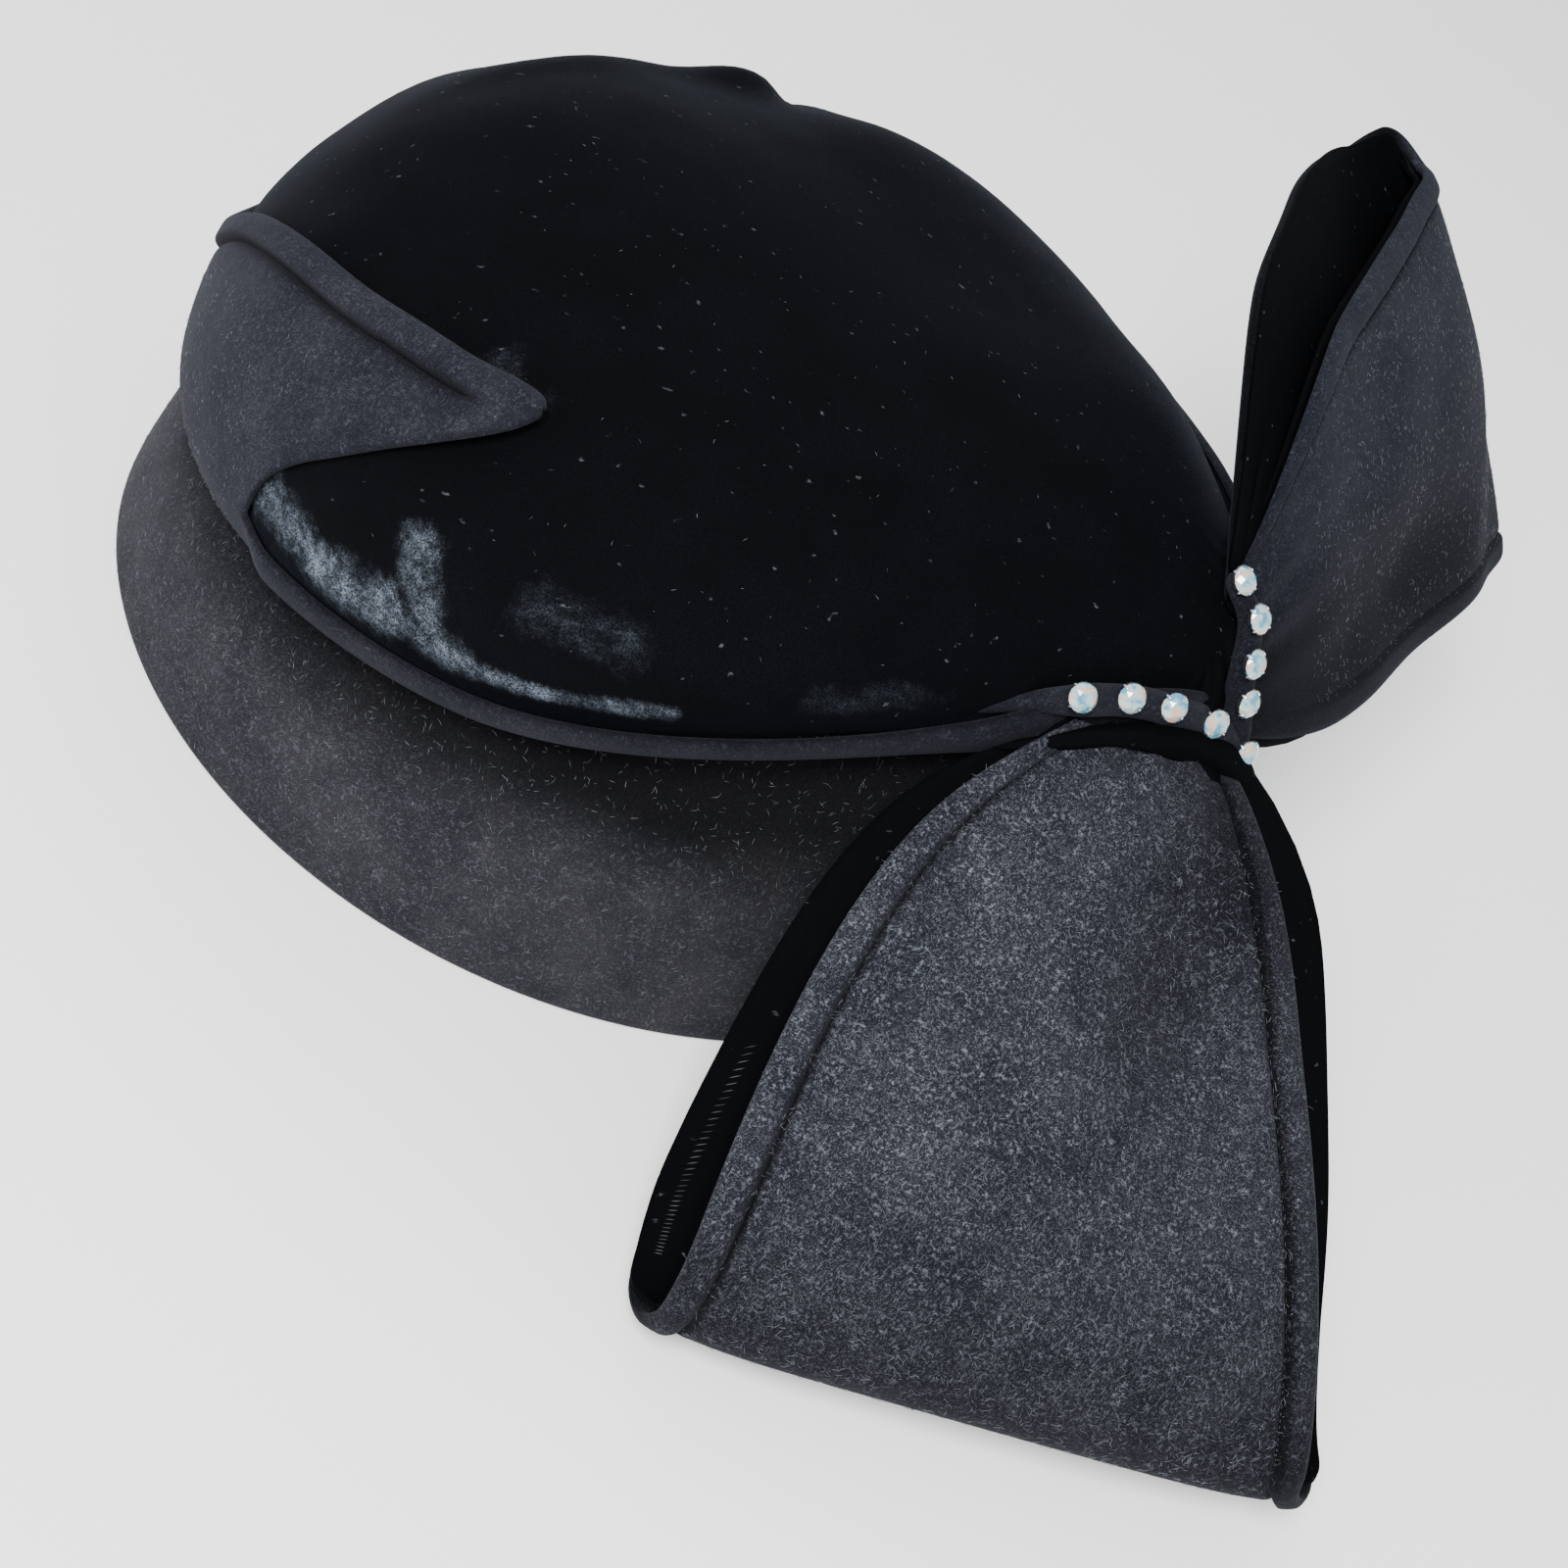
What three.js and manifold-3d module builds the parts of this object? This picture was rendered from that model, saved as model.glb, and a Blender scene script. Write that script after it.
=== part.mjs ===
// Velvet hat with a felt brim, a felt band, a two-loop felt bow and a V of rhinestones.
// Millimetres, +Z up. The front of the hat looks along -X and the bow is at the back, +X.
// While it is built, the middle of the brim's lower edge is the origin.

import * as THREE from 'three';
import Module from 'manifold-3d';

// Thicknesses of the cloth layers and the gap left between two pieces.
const FELT_THICKNESS = 2.0;
const VELVET_THICKNESS = 1.4;
const LINING_THICKNESS = 1.0;
const PIECE_GAP = 0.35;
const BAND_GAP = 1.1;

// Brim: a felt wall from its oval lower edge up to the seam under the crown.
const BRIM_HALF_LENGTH = 114.5;
const BRIM_HALF_WIDTH = 104.5;
const BRIM_EDGE_ROUND = 1.0;
const BRIM_FLAT_BELOW = 1.5;
const BRIM_BELLY = 3.0;
const BRIM_TUCK = 4.5;
const BRIM_INSET = 3.4;

// Crown: an egg-shaped dome whose narrow end points at the bow.
const CROWN_CENTRE_X = 4.6;
const CROWN_CENTRE_Y = -1.5;
const CROWN_HALF_LENGTH = 114.6;
const CROWN_HALF_WIDTH = 99;
const CROWN_TURN = THREE.MathUtils.degToRad(-8.5);
const CROWN_BACK_TAPER = 0.6;
const CROWN_TOP = 127;
const CROWN_TOP_TILT = -0.022;
const CROWN_ROUNDNESS_ACROSS = 2.46;
const CROWN_ROUNDNESS_UP = 2.16;
const SEAM_HEIGHT = 59.6;
const SEAM_RISE = 0.241;
const SEAM_KICK = 11.7;
const BULGE_HEIGHT = 12;
const BULGE_OVERHANG = 0.05;
const SEAM_LIFT = -0.5;

// Soft dents in the crown: where they lie round and up the dome, how wide and how deep.
const CROWN_DENTS = [
  { round: 70, lift: 1.25, width: 0.5, depth: 4 },
  { round: 128, lift: 1.0, width: 0.34, depth: 4 },
  { round: 100, lift: 0.95, width: 0.22, depth: -3 },
  { round: -20, lift: 1.05, width: 0.4, depth: 3 },
  { round: 42, lift: 0.6, width: 0.4, depth: -5 },
];

// Band: felt laid round the crown, as stations of its two edges in crown coordinates.
// Round is in degrees about the crown, top and bottom are lifts from the bulge line.
const BAND_BROAD = [
  { round: 16, bottom: -0.5, top: 0.36 },
  { round: 40, bottom: -0.5, top: 0.3 },
  { round: 80, bottom: -0.5, top: 0.2 },
  { round: 120, bottom: -0.5, top: 0.12 },
  { round: 165, bottom: -0.5, top: 0.1 },
  { round: 182, bottom: -0.5, top: 0.15 },
  { round: 195, bottom: -0.5, top: 0.27 },
  { round: 208, bottom: -0.5, top: 0.43 },
  { round: 220, bottom: -0.5, top: 0.57 },
  { round: 234, bottom: -0.5, top: 0.68 },
  { round: 240, bottom: -0.5, top: 0.72 },
];
const BAND_POINT = [
  { round: 236, bottom: 0.02, top: 0.69 },
  { round: 241, bottom: 0.16, top: 0.73 },
  { round: 245, bottom: 0.3, top: 0.75 },
  { round: 252, bottom: 0.53, top: 0.785 },
  { round: 256, bottom: 0.7, top: 0.79 },
];
const BAND_NARROW = [
  { round: 236, bottom: -0.5, top: 0.1 },
  { round: 241, bottom: -0.5, top: -0.04 },
  { round: 250, bottom: -0.5, top: -0.14 },
  { round: 266, bottom: -0.5, top: -0.18 },
  { round: 296, bottom: -0.5, top: -0.17 },
  { round: 310, bottom: -0.5, top: -0.1 },
  { round: 316, bottom: -0.5, top: -0.02 },
];

// Bow loops: a strip of felt lined with velvet, folded over and gathered at the knot.
// Left and right are the two cut edges of the strip as seen from its outer side.
const LOOPS = [
  {
    name: 'near',
    baseLeft: [95, -55, 95],
    baseRight: [125, -39, 90],
    foldLeft: [76, -164, 9],
    foldRight: [202, -130, 15],
    flareLeft: 14,
    flareRight: 10,
    underLeft: 8,
    underRight: 3,
    arch: 9,
  },
  {
    name: 'far',
    baseLeft: [132, -20, 87],
    baseRight: [114, -3, 122],
    foldLeft: [169, 110, 72],
    foldRight: [99, 108, 150],
    flareLeft: 10,
    flareRight: 0,
    underLeft: 0,
    underRight: 22,
    arch: 5,
  },
];
const LOOP_HALF_GAP = 13;
const LOOP_BASE_HALF_GAP = 4.2;
const LOOP_BASE_TURN = 0.05;
const LOOP_FLARE_EARLY = 0.8;

// Rhinestones: middle of each stone's seat and the way it faces.
const STONES = [
  { at: [89.2, -59.5, 104.1], faces: [0.35, -0.7, 0.62] },
  { at: [97.6, -52.4, 104.2], faces: [0.4, -0.7, 0.6] },
  { at: [106.0, -45.6, 102.2], faces: [0.45, -0.7, 0.55] },
  { at: [115.5, -37.6, 97.8], faces: [0.55, -0.68, 0.48] },
  { at: [124.3, -32.8, 91.6], faces: [0.75, -0.6, 0.3] },
  { at: [119.0, -31.7, 101.4], faces: [0.75, -0.5, 0.43] },
  { at: [115.6, -31.3, 109.7], faces: [0.7, -0.45, 0.55] },
  { at: [112.3, -25.5, 115.0], faces: [0.6, -0.38, 0.7] },
  { at: [106.0, -23.5, 119.4], faces: [0.5, -0.35, 0.79] },
];
const STONE_RADIUS = 2.9;
const STONE_HEIGHT = 2.0;
const STONE_TABLE_RADIUS = 1.5;
const STONE_GIRDLE = 0.5;
const STONE_FACETS = 8;
const CUP_RADIUS = 3.1;
const CUP_DEPTH = 1.5;
const PRONG_SIZE = 0.9;
const PRONG_HEIGHT = 2.1;
const PRONG_COUNT = 4;

// Knot: a V of gathered velvet that runs close under the stones and a little past them.
const KNOT_RADIUS = 2.9;
const KNOT_START = [80, -64, 100.5];
const KNOT_GAP = 0.6;
const KNOT_END = [99.5, -18, 122.5];
const KNOT_STEPS = 22;

// Grid steps of the curved sheets.
const ROUND_STEPS = 44;
const CROWN_STEPS = 11;
const BAND_ROUND_STEP = 6;
const BAND_RISE_STEPS = 6;
const LOOP_STEPS = 22;
const LOOP_ACROSS_STEPS = 9;
const KNOT_SIDES = 4;

const FELT = { color: 0x2b2d36, roughness: 0.95, metalness: 0 };
const VELVET = { color: 0x0b0d12, roughness: 0.8, metalness: 0 };
const CRYSTAL = { color: 0xdfe6ee, roughness: 0.08, metalness: 0 };

const wasm = await Module();
wasm.setup();

/** The value of a smooth step from 0 to 1 between two limits. */
function smooth(low, high, value) {
  return THREE.MathUtils.smoothstep(value, low, high);
}

/** Linear interpolation of one column of a station table. */
function stationValue(table, round, column) {
  const next = table.findIndex((station) => station.round >= round);
  if (next < 0) {
    return table[table.length - 1][column];
  }
  if (next === 0) {
    return table[0][column];
  }
  const before = table[next - 1];
  const after = table[next];
  const share = (round - before.round) / (after.round - before.round);
  return THREE.MathUtils.lerp(before[column], after[column], share);
}

/** Point of the crown's outside at an angle round it and a lift up it. */
function crownPoint(angle, lift) {
  const forward = Math.cos(angle);
  const sideways = Math.sin(angle);
  const taper = 1 - CROWN_BACK_TAPER * Math.max(0, forward) ** 2;
  const along = CROWN_HALF_LENGTH * forward;
  const across = CROWN_HALF_WIDTH * sideways * taper;
  const kick = SEAM_KICK * Math.max(0, forward) * Math.max(0, -sideways);
  const seam = SEAM_HEIGHT + SEAM_RISE * along + kick;
  const bulge = seam + BULGE_HEIGHT;
  let reach;
  let height;
  if (lift >= 0) {
    reach = Math.abs(Math.cos(lift)) ** (2 / CROWN_ROUNDNESS_ACROSS);
    const rise = Math.sin(lift) ** (2 / CROWN_ROUNDNESS_UP);
    const top = CROWN_TOP + CROWN_TOP_TILT * along * reach;
    height = bulge + (top - bulge) * rise;
  } else {
    reach = 1 - BULGE_OVERHANG * (lift / SEAM_LIFT) ** 2;
    height = bulge + (BULGE_HEIGHT / Math.sin(-SEAM_LIFT)) * Math.sin(lift);
  }
  const plan = new THREE.Vector2(along, across).rotateAround(new THREE.Vector2(), CROWN_TURN);
  const point = new THREE.Vector3(
    CROWN_CENTRE_X + plan.x * reach,
    CROWN_CENTRE_Y + plan.y * reach,
    height,
  );
  for (const dent of CROWN_DENTS) {
    const turn = Math.cos(angle - THREE.MathUtils.degToRad(dent.round));
    const away = Math.hypot(lift - dent.lift, Math.acos(turn) * Math.cos(lift));
    point.z -= dent.depth * Math.exp(-((away / dent.width) ** 2));
  }
  return point;
}

/** Point of the brim's outside, from its lower edge (0) to its top edge (1). */
function brimPoint(angle, share) {
  const seam = crownPoint(angle, SEAM_LIFT);
  const centre = new THREE.Vector3(CROWN_CENTRE_X, CROWN_CENTRE_Y, seam.z);
  const inward = centre.clone().sub(seam).normalize();
  const top = seam.clone().addScaledVector(inward, BRIM_INSET);
  top.z += BRIM_TUCK;
  const bearing = Math.atan2(seam.y / BRIM_HALF_WIDTH, seam.x / BRIM_HALF_LENGTH);
  const foot = new THREE.Vector3(
    BRIM_HALF_LENGTH * Math.cos(bearing),
    BRIM_HALF_WIDTH * Math.sin(bearing),
    0,
  );
  const point = foot.lerp(top, share);
  const belly = BRIM_BELLY * Math.sin(Math.PI * share);
  const curl = BRIM_EDGE_ROUND * (1 - smooth(0, 0.08, share));
  point.addScaledVector(inward, curl - belly);
  return point;
}

/** Point of a bow loop's outside: turn runs along the strip, across runs over it. */
function loopPoint(loop, turn, across) {
  const [baseLeft, baseRight, foldLeft, foldRight] = [
    loop.baseLeft,
    loop.baseRight,
    loop.foldLeft,
    loop.foldRight,
  ].map((corner) => new THREE.Vector3(...corner));
  const base = baseLeft.clone().add(baseRight).multiplyScalar(0.5);
  const fold = foldLeft.clone().add(foldRight).multiplyScalar(0.5);
  const along = fold.clone().sub(base).normalize();
  const sideways = foldRight.clone().sub(foldLeft).normalize();
  const outward = sideways.clone().cross(along).normalize().negate();
  const reach = Math.sin(turn / 2);
  const under = smooth(Math.PI * 0.8, Math.PI * 1.5, turn);
  const widen = Math.sin(Math.PI * reach ** LOOP_FLARE_EARLY);
  const left = baseLeft.clone().lerp(foldLeft, reach);
  const right = baseRight.clone().lerp(foldRight, reach);
  left.addScaledVector(sideways, -(loop.flareLeft * widen + loop.underLeft * under));
  right.addScaledVector(sideways, loop.flareRight * widen + loop.underRight * under);
  const point = left.lerp(right, (across + 1) / 2);
  const halfGap = LOOP_HALF_GAP * Math.sin(turn) * reach ** 1.2;
  const baseGap = LOOP_BASE_HALF_GAP * Math.cos(turn / 2);
  const arch = loop.arch * (1 - across ** 2) * Math.sin(Math.PI * reach * 0.85);
  return point.addScaledVector(outward, halfGap + baseGap + arch);
}

/** Normal of a surface given as a function of two values, by small steps. */
function surfaceNormal(surface, u, v) {
  const step = 1e-3;
  const alongU = surface(u + step, v).sub(surface(u - step, v));
  const alongV = surface(u, v + step).sub(surface(u, v - step));
  return alongU.cross(alongV).normalize();
}

/** Closed solid between two depths under a surface, over a grid of u and v values. */
function layerSolid(surface, rows, depths, closedRound) {
  const positions = [];
  const indices = [];
  const width = rows[0].length;
  for (const depth of depths) {
    for (const row of rows) {
      for (const [u, v] of row) {
        const inset = surfaceNormal(surface, u, v).multiplyScalar(-depth);
        positions.push(...surface(u, v).add(inset).toArray());
      }
    }
  }
  const layer = rows.length * width;
  const place = (side, i, j) => side * layer + (i % rows.length) * width + j;
  const quad = (a, b, c, d) => indices.push(a, b, c, a, c, d);
  const last = closedRound ? rows.length : rows.length - 1;
  for (let i = 0; i < last; i += 1) {
    for (let j = 0; j < width - 1; j += 1) {
      quad(place(0, i, j), place(0, i + 1, j), place(0, i + 1, j + 1), place(0, i, j + 1));
      quad(place(1, i, j), place(1, i, j + 1), place(1, i + 1, j + 1), place(1, i + 1, j));
    }
    quad(place(0, i, 0), place(1, i, 0), place(1, i + 1, 0), place(0, i + 1, 0));
    const end = width - 1;
    quad(place(0, i, end), place(0, i + 1, end), place(1, i + 1, end), place(1, i, end));
  }
  if (!closedRound) {
    const end = rows.length - 1;
    for (let j = 0; j < width - 1; j += 1) {
      quad(place(0, 0, j), place(0, 0, j + 1), place(1, 0, j + 1), place(1, 0, j));
      quad(place(0, end, j), place(1, end, j), place(1, end, j + 1), place(0, end, j + 1));
    }
  }
  return closedGeometry(positions, indices);
}

/** Indexed geometry from plain lists. */
function closedGeometry(positions, indices) {
  const geometry = new THREE.BufferGeometry();
  geometry.setAttribute('position', new THREE.Float32BufferAttribute(positions, 3));
  geometry.setIndex(indices);
  return geometry;
}

/** Evenly spaced values from first to last. */
function spaced(first, last, steps) {
  return Array.from({ length: steps + 1 }, (_, i) => first + ((last - first) * i) / steps);
}

/** Manifold solid of a closed geometry. */
function toSolid(geometry) {
  return new wasm.Manifold(
    new wasm.Mesh({
      numProp: 3,
      vertProperties: new Float32Array(geometry.attributes.position.array),
      triVerts: new Uint32Array(geometry.index.array),
    }),
  );
}

/** Geometry of a manifold solid. */
function toGeometry(solid) {
  const mesh = solid.getMesh();
  return closedGeometry(Array.from(mesh.vertProperties), Array.from(mesh.triVerts));
}

/** Dome of velvet: two skins joined along the lower edge, each closed by a top point. */
function crownGeometry() {
  const topLift = Math.PI / 2;
  const lifts = spaced(SEAM_LIFT, topLift, CROWN_STEPS).slice(0, -1);
  const angles = spaced(0, Math.PI * 2, ROUND_STEPS).slice(0, -1);
  const rows = angles.map((angle) => lifts.map((lift) => [angle, lift]));
  const positions = [];
  const indices = [];
  const skin = rows.length * lifts.length + 1;
  for (const depth of [0, VELVET_THICKNESS]) {
    for (const row of rows) {
      for (const [angle, lift] of row) {
        const inset = surfaceNormal(crownPoint, angle, lift).multiplyScalar(-depth);
        positions.push(...crownPoint(angle, lift).add(inset).toArray());
      }
    }
    const apex = crownPoint(0, topLift);
    positions.push(apex.x, apex.y, apex.z - depth);
  }
  const place = (side, i, j) => side * skin + (i % rows.length) * lifts.length + j;
  const end = lifts.length - 1;
  for (let i = 0; i < rows.length; i += 1) {
    for (let j = 0; j < end; j += 1) {
      const outer = [place(0, i, j), place(0, i + 1, j), place(0, i + 1, j + 1), place(0, i, j + 1)];
      const inner = [place(1, i, j), place(1, i, j + 1), place(1, i + 1, j + 1), place(1, i + 1, j)];
      for (const [a, b, c, d] of [outer, inner]) {
        indices.push(a, b, c, a, c, d);
      }
    }
    indices.push(place(0, i, end), place(0, i + 1, end), skin - 1);
    indices.push(place(1, i + 1, end), place(1, i, end), 2 * skin - 1);
    indices.push(place(0, i, 0), place(1, i, 0), place(1, i + 1, 0));
    indices.push(place(0, i, 0), place(1, i + 1, 0), place(0, i + 1, 0));
  }
  return closedGeometry(positions, indices);
}

/** Felt wall of the brim, with its lower edge laid flat on the surface it stands on. */
function brimGeometry() {
  const shares = [0, 0.08, 0.25, 0.45, 0.65, 0.85, 1];
  const angles = spaced(0, Math.PI * 2, ROUND_STEPS).slice(0, -1);
  const rows = angles.map((angle) => shares.map((share) => [angle, share]));
  const geometry = layerSolid(brimPoint, rows, [0, FELT_THICKNESS], true);
  const place = geometry.attributes.position;
  for (let i = 0; i < place.count; i += 1) {
    if (place.getZ(i) < BRIM_FLAT_BELOW) {
      place.setZ(i, 0);
    }
  }
  return geometry;
}

/** One stretch of the band, laid on the crown and slightly puffed between its edges. */
function bandStretch(table) {
  const first = table[0].round;
  const last = table[table.length - 1].round;
  const steps = Math.ceil((last - first) / BAND_ROUND_STEP);
  const marks = table.map((station) => station.round);
  const even = spaced(first, last, steps);
  const rounds = [...new Set([...even, ...marks])].sort((a, b) => a - b);
  const kept = rounds.filter((round, i) => i === 0 || round - rounds[i - 1] > 1.2);
  const rows = kept.map((round) => {
    const bottom = stationValue(table, round, 'bottom');
    const top = stationValue(table, round, 'top');
    return spaced(bottom, top, BAND_RISE_STEPS).map((lift) => [
      THREE.MathUtils.degToRad(round),
      lift,
    ]);
  });
  const outside = FELT_THICKNESS + BAND_GAP;
  return layerSolid(crownPoint, rows, [-outside, -BAND_GAP], false);
}

/** The whole band: the broad stretch joined to its point and to the narrow stretch. */
function bandGeometry() {
  const broad = toSolid(bandStretch(BAND_BROAD));
  const point = toSolid(bandStretch(BAND_POINT));
  const narrow = toSolid(bandStretch(BAND_NARROW));
  return toGeometry(broad.add(point).add(narrow));
}

/** One cloth layer of a bow loop between two depths under its outside. */
function loopLayer(loop, outer, inner) {
  const turns = spaced(LOOP_BASE_TURN, Math.PI * 2 - LOOP_BASE_TURN, LOOP_STEPS);
  const places = spaced(-1, 1, LOOP_ACROSS_STEPS);
  const rows = turns.map((turn) => places.map((across) => [turn, across]));
  const outside = (turn, across) => loopPoint(loop, turn, across);
  return layerSolid(outside, rows, [outer, inner], false);
}

/** Gathered knot: a round tube that follows the stones at a small depth under their seats. */
function knotGeometry() {
  const under = STONES.map((stone) => {
    const facing = new THREE.Vector3(...stone.faces).normalize();
    return new THREE.Vector3(...stone.at).addScaledVector(facing, -(KNOT_RADIUS + KNOT_GAP));
  });
  const start = new THREE.Vector3(...KNOT_START);
  const end = new THREE.Vector3(...KNOT_END);
  const path = new THREE.CatmullRomCurve3([start, ...under, end]);
  const section = new THREE.Shape();
  section.absarc(0, 0, KNOT_RADIUS, 0, Math.PI * 2);
  return new THREE.ExtrudeGeometry(section, {
    steps: KNOT_STEPS,
    curveSegments: KNOT_SIDES,
    bevelEnabled: false,
    extrudePath: path,
  });
}

/** Cut stone in its four-pronged cup, as one body standing on its seat along +Z. */
function stoneGeometry() {
  const profile = [
    new THREE.Vector2(0, 0),
    new THREE.Vector2(CUP_RADIUS - 0.5, 0),
    new THREE.Vector2(CUP_RADIUS, CUP_DEPTH),
    new THREE.Vector2(STONE_RADIUS, CUP_DEPTH + STONE_GIRDLE),
    new THREE.Vector2(STONE_TABLE_RADIUS, CUP_DEPTH + STONE_HEIGHT),
    new THREE.Vector2(0, CUP_DEPTH + STONE_HEIGHT),
  ];
  const cut = new THREE.LatheGeometry(profile, STONE_FACETS);
  cut.rotateX(Math.PI / 2);
  let solid = toSolid(weld(cut));
  for (let i = 0; i < PRONG_COUNT; i += 1) {
    const prong = new THREE.BoxGeometry(PRONG_SIZE, PRONG_SIZE, PRONG_HEIGHT);
    prong.translate(CUP_RADIUS - PRONG_SIZE / 4, 0, PRONG_HEIGHT / 2 + 0.1);
    prong.rotateZ(((i + 0.5) * Math.PI * 2) / PRONG_COUNT);
    solid = solid.add(toSolid(weld(prong)));
  }
  return toGeometry(solid);
}

/** Geometry with only its shared corners left, as booleans need it. */
function weld(geometry) {
  const seen = new Map();
  const positions = [];
  const indices = [];
  const source = geometry.attributes.position;
  const order = geometry.index ? Array.from(geometry.index.array) : spaced(0, source.count - 1, source.count - 1);
  for (const i of order) {
    const corner = [source.getX(i), source.getY(i), source.getZ(i)];
    const key = corner.map((value) => Math.round(value * 1e4)).join(' ');
    if (!seen.has(key)) {
      seen.set(key, seen.size);
      positions.push(...corner);
    }
    indices.push(seen.get(key));
  }
  const whole = [];
  for (let i = 0; i < indices.length; i += 3) {
    const [a, b, c] = indices.slice(i, i + 3);
    if (a !== b && b !== c && c !== a) {
      whole.push(a, b, c);
    }
  }
  return closedGeometry(positions, whole);
}

const hat = new THREE.Group();

/** Adds a named piece to the hat. */
function addPiece(name, geometry, look) {
  const mesh = new THREE.Mesh(geometry, new THREE.MeshStandardMaterial(look));
  mesh.name = name;
  hat.add(mesh);
  return mesh;
}

addPiece('brim', brimGeometry(), FELT);
addPiece('crown', crownGeometry(), VELVET);
addPiece('band', bandGeometry(), FELT);
for (const loop of LOOPS) {
  const liningDepth = FELT_THICKNESS + PIECE_GAP;
  addPiece(`bow_loop_${loop.name}`, loopLayer(loop, 0, FELT_THICKNESS), FELT);
  const lining = loopLayer(loop, liningDepth, liningDepth + LINING_THICKNESS);
  addPiece(`bow_lining_${loop.name}`, lining, VELVET);
}
addPiece('bow_knot', weld(knotGeometry()), VELVET);
STONES.forEach((stone, i) => {
  const mesh = addPiece(`rhinestone_${i + 1}`, stoneGeometry(), CRYSTAL);
  mesh.position.set(...stone.at);
  mesh.quaternion.setFromUnitVectors(
    new THREE.Vector3(0, 0, 1),
    new THREE.Vector3(...stone.faces).normalize(),
  );
});

// The origin goes to the middle of the hat's bounding box, on the surface it stands on.
hat.updateMatrixWorld(true);
const bounds = new THREE.Box3().setFromObject(hat, true);
const middle = bounds.getCenter(new THREE.Vector3());
hat.position.set(-middle.x, -middle.y, -bounds.min.z);

export default hat;
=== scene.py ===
"""Velvet hat with a felt brim, a felt band and a two-loop felt bow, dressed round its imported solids.

Lengths in the forms below are millimetres from the middle of the brim's lower edge, +X towards
the bow at the back and +Z up. They are turned into metres in the part's frame as a piece is made.
"""

import logging
import math
import random
from dataclasses import dataclass
from enum import Enum
from functools import cached_property
from typing import Any, Callable, Sequence

import bmesh
import bpy
from mathutils import Matrix, Vector, noise


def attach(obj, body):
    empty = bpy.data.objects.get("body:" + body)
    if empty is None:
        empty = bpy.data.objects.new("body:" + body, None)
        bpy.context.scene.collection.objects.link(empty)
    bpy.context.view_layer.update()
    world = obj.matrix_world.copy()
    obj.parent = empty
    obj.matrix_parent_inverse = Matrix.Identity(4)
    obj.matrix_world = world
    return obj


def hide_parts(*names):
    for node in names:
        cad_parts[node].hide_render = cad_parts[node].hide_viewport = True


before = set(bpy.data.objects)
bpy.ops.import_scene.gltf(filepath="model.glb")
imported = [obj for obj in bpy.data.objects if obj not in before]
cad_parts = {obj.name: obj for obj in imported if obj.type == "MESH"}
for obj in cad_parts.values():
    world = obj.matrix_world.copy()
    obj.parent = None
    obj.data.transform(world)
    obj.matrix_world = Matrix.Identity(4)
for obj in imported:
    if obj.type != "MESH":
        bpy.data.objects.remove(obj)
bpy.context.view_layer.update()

MM = 0.001
# The middle of the brim's lower edge in the part's frame, and the photograph's width in pixels
HAT_PLACE = Vector((-44.23, 27.82, 0.0))
PHOTO_FRAME = 1600
# Corners closer than this many metres are one
WELD = 1e-6
# Directions in the hat's frame: towards the camera, up in the photograph, and out of the knot
TO_CAMERA = Vector((0.0, -0.731, 0.682))
PHOTO_UP = Vector((-0.5, 0.59, 0.633))
KNOT_OUT = Vector((0.35, -0.65, 0.67))
KNOT_MIDDLE = Vector((112.0, -32.0, 98.0))
# A stitched tuck is a quarter of an inch wide. Distances of its rows and stitches from the edge
TUCK_WIDTH = 6.3
TUCK_ROWS = (0.0, 0.4, 1.0, 2.0, 3.4, 4.8, 5.8, 6.4, 6.85, 7.25, 7.65, 8.1, 8.8, 10.4)
STITCH_LINE = 7.3
# Any distance past the tuck, for rows where the cloth lies plain
PAST_TUCK = 20.0
# The most that a cloth is darkened
DARKEST = 0.95

Surface = Callable[[float, float], Vector]
Log = logging.getLogger("velvet_hat")


class Slot(Enum):
    """The record's material slots."""

    FELT = "felt"
    VELVET = "velvet"
    CRYSTAL = "crystal"


class Held(Enum):
    """Ways in which a cloth is held."""

    STRETCHED = "stretched"
    LAID = "laid"
    FOLDED = "folded"


class Stretch(Enum):
    """Parts of the forked band."""

    BROAD = "broad"
    POINT = "point"
    NARROW = "narrow"


# Helpers for numbers and places


def smooth(low: float, high: float, value: float) -> float:
    """Smooth step from 0 at low to 1 at high."""
    share = min(1.0, max(0.0, (value - low) / (high - low)))
    return share * share * (3.0 - 2.0 * share)


def soft_positive(value: float, softness: float = 0.08) -> float:
    """The positive part of a value, with its corner at 0 rounded off."""
    return 0.5 * (value + math.sqrt(value * value + softness * softness)) - 0.5 * softness


def bell(value: float, middle: float, width: float) -> float:
    """A bell curve of height 1 round middle."""
    return math.exp(-(((value - middle) / width) ** 2))


def lerp(first: float, second: float, share: float) -> float:
    """Straight mix of two numbers."""
    return first + (second - first) * share


def spaced(first: float, last: float, steps: int) -> list[float]:
    """Evenly spaced values from first to last, both included."""
    return [first + (last - first) * i / steps for i in range(steps + 1)]


def to_row(place: Vector) -> Vector:
    """A place of the hat in millimetres as a place of the part's frame in metres."""
    return (place + HAT_PLACE) * MM


def surface_normal(surface: Surface, u: float, v: float, step: float = 2e-3) -> Vector:
    """Outward direction of a surface, by small steps along both of its values.

    Args:
        surface: the surface.
        u: its first value.
        v: its second value.
        step: size of the steps.

    Returns:
        The direction, of length 1.
    """
    along_u = surface(u + step, v) - surface(u - step, v)
    along_v = surface(u, v + step) - surface(u, v - step)
    return along_u.cross(along_v).normalized()


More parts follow.
